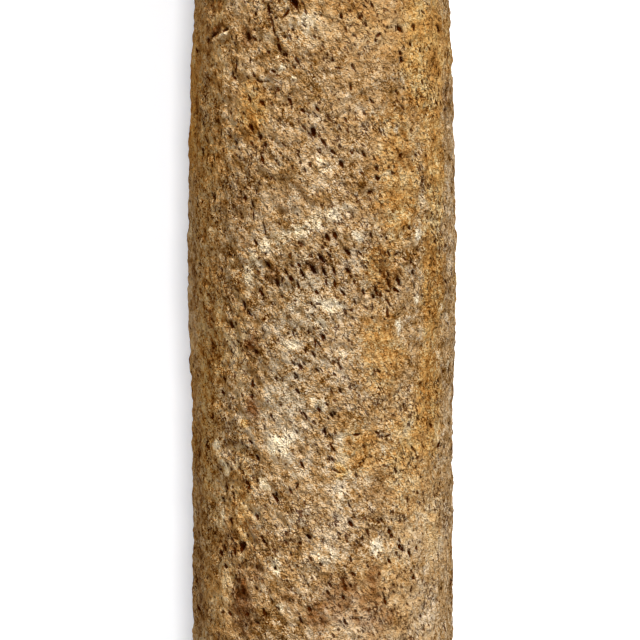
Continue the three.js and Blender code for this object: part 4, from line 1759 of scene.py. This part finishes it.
@dataclass
class Studio:
    """A white paper floor and wall, soft lamps, and the camera at the photograph's angle."""

    wall_sunk: float = 2 * MM
    wall_fold: float = 4.0
    paper_reach: float = 4.0
    floor_stock: Paper = Paper("floor_paper", 0.5, 0.24)
    floor_fade: tuple[float, float] = (0.25, 0.9)
    wall_stock: Paper = Paper("wall_paper", 0.8, 0.26)
    wall_fade_left: tuple[float, float] = (-0.085, -0.125)
    wall_fade_right: tuple[float, float] = (0.02, 0.045)
    wall_fade_up: tuple[float, float] = (0.268, 0.305)
    lift_tint: Triple = (0.865, 1.0, 1.21)
    key_strength: float = 5.1
    key_width: float = 9.0
    key_rise: float = 53.0
    key_aside: float = 30.0
    fill: SoftLamp = SoftLamp("fill_lamp", 17.0, 0.5, (-0.6, -1.0, 2.1), WARM)
    behind: SoftLamp = SoftLamp("back_lamp", 28.0, 0.6, (0.35, 1.6, 1.35), COOL)
    on_wall: SoftLamp = SoftLamp("wall_lamp", 14.0, 0.28, (0.085, -1.5, PHOTO.middle_height))
    sky: float = 0.11

    def paper(self, b: Board, stock: Paper, far: Socket, one_sided: bool) -> bpy.types.Material:
        """White paper that keeps shadows near the stone and is plain white away from it.

        Args:
            b: The empty material.
            stock: The kind of paper.
            far: 0 near the stone, and 1 where the paper is plain white.
            one_sided: Whether it shows only from its front.

        Returns:
            The material.
        """
        skin = b.add("ShaderNodeBsdfDiffuse")
        skin.inputs["Color"].default_value = (*[stock.white] * 3, 1)
        glow = b.add("ShaderNodeEmission")
        b.feed(glow.inputs["Color"], b.mix(far, (*self.lift_tint, 1), (*WHITE, 1)))
        b.feed(glow.inputs["Strength"], b.times(b.seen(), b.span(far, 0.0, 1.0, stock.lift, 1.0)))
        both = b.add("ShaderNodeAddShader")
        b.feed(both.inputs[0], skin.outputs["BSDF"])
        b.feed(both.inputs[1], glow.outputs["Emission"])
        result = both.outputs["Shader"]
        if one_sided:
            choose = b.add("ShaderNodeMixShader")
            b.feed(choose.inputs["Fac"], b.add("ShaderNodeNewGeometry").outputs["Backfacing"])
            b.feed(choose.inputs[1], result)
            b.feed(choose.inputs[2], b.add("ShaderNodeBsdfTransparent").outputs["BSDF"])
            result = choose.outputs["Shader"]
        b.feed(b.add("ShaderNodeOutputMaterial").inputs["Surface"], result)
        return b.owner

    def floor_paper(self) -> bpy.types.Material:
        """The floor's paper, which is plain white beyond the pestle's shadow.

        Returns:
            The material.
        """
        b = Board(self.floor_stock.name)
        right, back, _ = b.split(b.place())
        far = b.span(b.hypot(right, back), *self.floor_fade)
        return self.paper(b, self.floor_stock, far, False)

    def wall_paper(self) -> bpy.types.Material:
        """The wall's paper, which keeps the shadow at the stone's left and is plain white elsewhere.

        Returns:
            The material.
        """
        b = Board(self.wall_stock.name)
        right, _, up = b.split(b.place())
        aside = b.math("MAXIMUM", b.span(right, *self.wall_fade_left), b.span(right, *self.wall_fade_right))
        far = b.math("MAXIMUM", aside, b.span(up, *self.wall_fade_up))
        return self.paper(b, self.wall_stock, far, True)

    def sheet(self, name: str, edge: list[Triple], rise: Triple,
              material: bpy.types.Material) -> bpy.types.Object:
        """Hang one sheet of paper.

        Args:
            name: The sheet's name.
            edge: Its near edge, from left to right.
            rise: The way from that edge to the far one.
            material: Its paper.

        Returns:
            The sheet's object.
        """
        bm = bmesh.new()
        low = [bm.verts.new(point) for point in edge]
        high = [bm.verts.new(Vector(point) + Vector(rise)) for point in edge]
        for corners in zip(low, low[1:], high[1:], high):
            bm.faces.new(corners)
        mesh = bpy.data.meshes.new(name)
        bm.to_mesh(mesh)
        bm.free()
        mesh.materials.append(material)
        sheet = bpy.data.objects.new(name, mesh)
        bpy.context.scene.collection.objects.link(sheet)
        return sheet

    def set_paper(self) -> bpy.types.Object:
        """Lay the floor, and hang the wall at the stone's back, folded so that its sides come forward.

        Returns:
            The wall.
        """
        reach = self.paper_reach
        front = [(-reach, -reach, 0), (reach, -reach, 0)]
        self.sheet("floor", front, (0, 2 * reach, 0), self.floor_paper())
        back = PHOTO.stone_diameter / 2 - self.wall_sunk
        near = back - reach * math.tan(math.radians(self.wall_fold))
        fold = [(-reach, near, 0), (0, back, 0), (reach, near, 0)]
        wall = self.sheet("wall", fold, (0, 0, reach), self.wall_paper())
        wall.visible_diffuse = False
        wall.visible_glossy = False
        wall.visible_transmission = False
        wall.visible_shadow = False
        return wall

    def lamp(self, lamp: SoftLamp, falls_on: bpy.types.Collection) -> None:
        """Hang a lamp that faces the stone.

        Args:
            lamp: The lamp.
            falls_on: What it lights.
        """
        data = bpy.data.lights.new(lamp.name, "AREA")
        data.energy = lamp.power
        data.color = lamp.tint
        data.shape = "SQUARE"
        data.size = lamp.size
        hung = bpy.data.objects.new(lamp.name, data)
        hung.location = lamp.place
        aim = Vector((0, 0, PHOTO.middle_height)) - Vector(lamp.place)
        hung.rotation_euler = aim.to_track_quat("-Z", "Y").to_euler()
        hung.light_linking.receiver_collection = falls_on
        bpy.context.scene.collection.objects.link(hung)

    def hang_key(self, falls_on: bpy.types.Collection) -> None:
        """Hang the far key light, high to the right, which rakes the stone.

        Args:
            falls_on: What it lights.
        """
        data = bpy.data.lights.new("key_light", "SUN")
        data.energy = self.key_strength
        data.color = COOL
        data.angle = math.radians(self.key_width)
        lamp = bpy.data.objects.new("key_light", data)
        lamp.rotation_euler = (math.radians(90 - self.key_rise), 0, math.radians(self.key_aside))
        lamp.light_linking.receiver_collection = falls_on
        bpy.context.scene.collection.objects.link(lamp)

    def light(self, wall: bpy.types.Object) -> None:
        """Hang the key light, a warm fill, a lamp behind and the wall's own lamp, under a weak sky.

        Args:
            wall: The wall, which has a lamp of its own.
        """
        wall_only = bpy.data.collections.new("wall_only")
        wall_only.objects.link(wall)
        but_wall = bpy.data.collections.new("all_but_wall")
        but_wall.objects.link(wall)
        but_wall.collection_objects[0].light_linking.link_state = "EXCLUDE"
        self.hang_key(but_wall)
        self.lamp(self.fill, but_wall)
        self.lamp(self.behind, but_wall)
        self.lamp(self.on_wall, wall_only)
        self.hang_sky()

    def hang_sky(self) -> None:
        """Light the shade with a weak warm sky, which the camera and reflections see as white."""
        b = Board("studio_sky", sky=True)
        seen = b.seen()
        glow = b.add("ShaderNodeBackground")
        b.feed(glow.inputs["Color"], b.mix(seen, (*WARM, 1), (*WHITE, 1)))
        b.feed(glow.inputs["Strength"], b.span(seen, 0.0, 1.0, self.sky, 1.0))
        b.feed(b.add("ShaderNodeOutputWorld").inputs["Surface"], glow.outputs["Background"])
        bpy.context.scene.world = b.owner

    def set_camera(self) -> None:
        """Stand a long-lensed camera square to the stone, as the photograph was taken."""
        data = bpy.data.cameras.new("camera")
        data.sensor_width = 36.0
        data.lens = data.sensor_width * PHOTO.distance / (PHOTO.side * PHOTO.scale)
        data.clip_end = 50
        camera = bpy.data.objects.new("camera", data)
        aside = (PHOTO.side / 2 - PHOTO.axis_column) * PHOTO.scale
        camera.location = (aside, -PHOTO.distance, PHOTO.middle_height)
        camera.rotation_euler = (math.pi / 2, 0, 0)
        bpy.context.scene.collection.objects.link(camera)
        bpy.context.scene.camera = camera

    def build(self) -> None:
        """Set up the paper, the lamps, the camera and the plain view."""
        self.set_camera()
        self.light(self.set_paper())
        bpy.context.scene.view_settings.view_transform = "Standard"


def main() -> None:
    """Build the pestle piece by piece, then the studio around it."""
    logging.basicConfig(level=logging.INFO, format="%(name)s: %(message)s")
    Studio().build()
    stone = StoneHead()
    report(stone.build())
    report(Haft().build())
    split_wood = WEDGE_FINISH.material()
    for wedge in WEDGES:
        report(wedge.build(stone.form, split_wood))


if __name__ == "__main__":
    main()
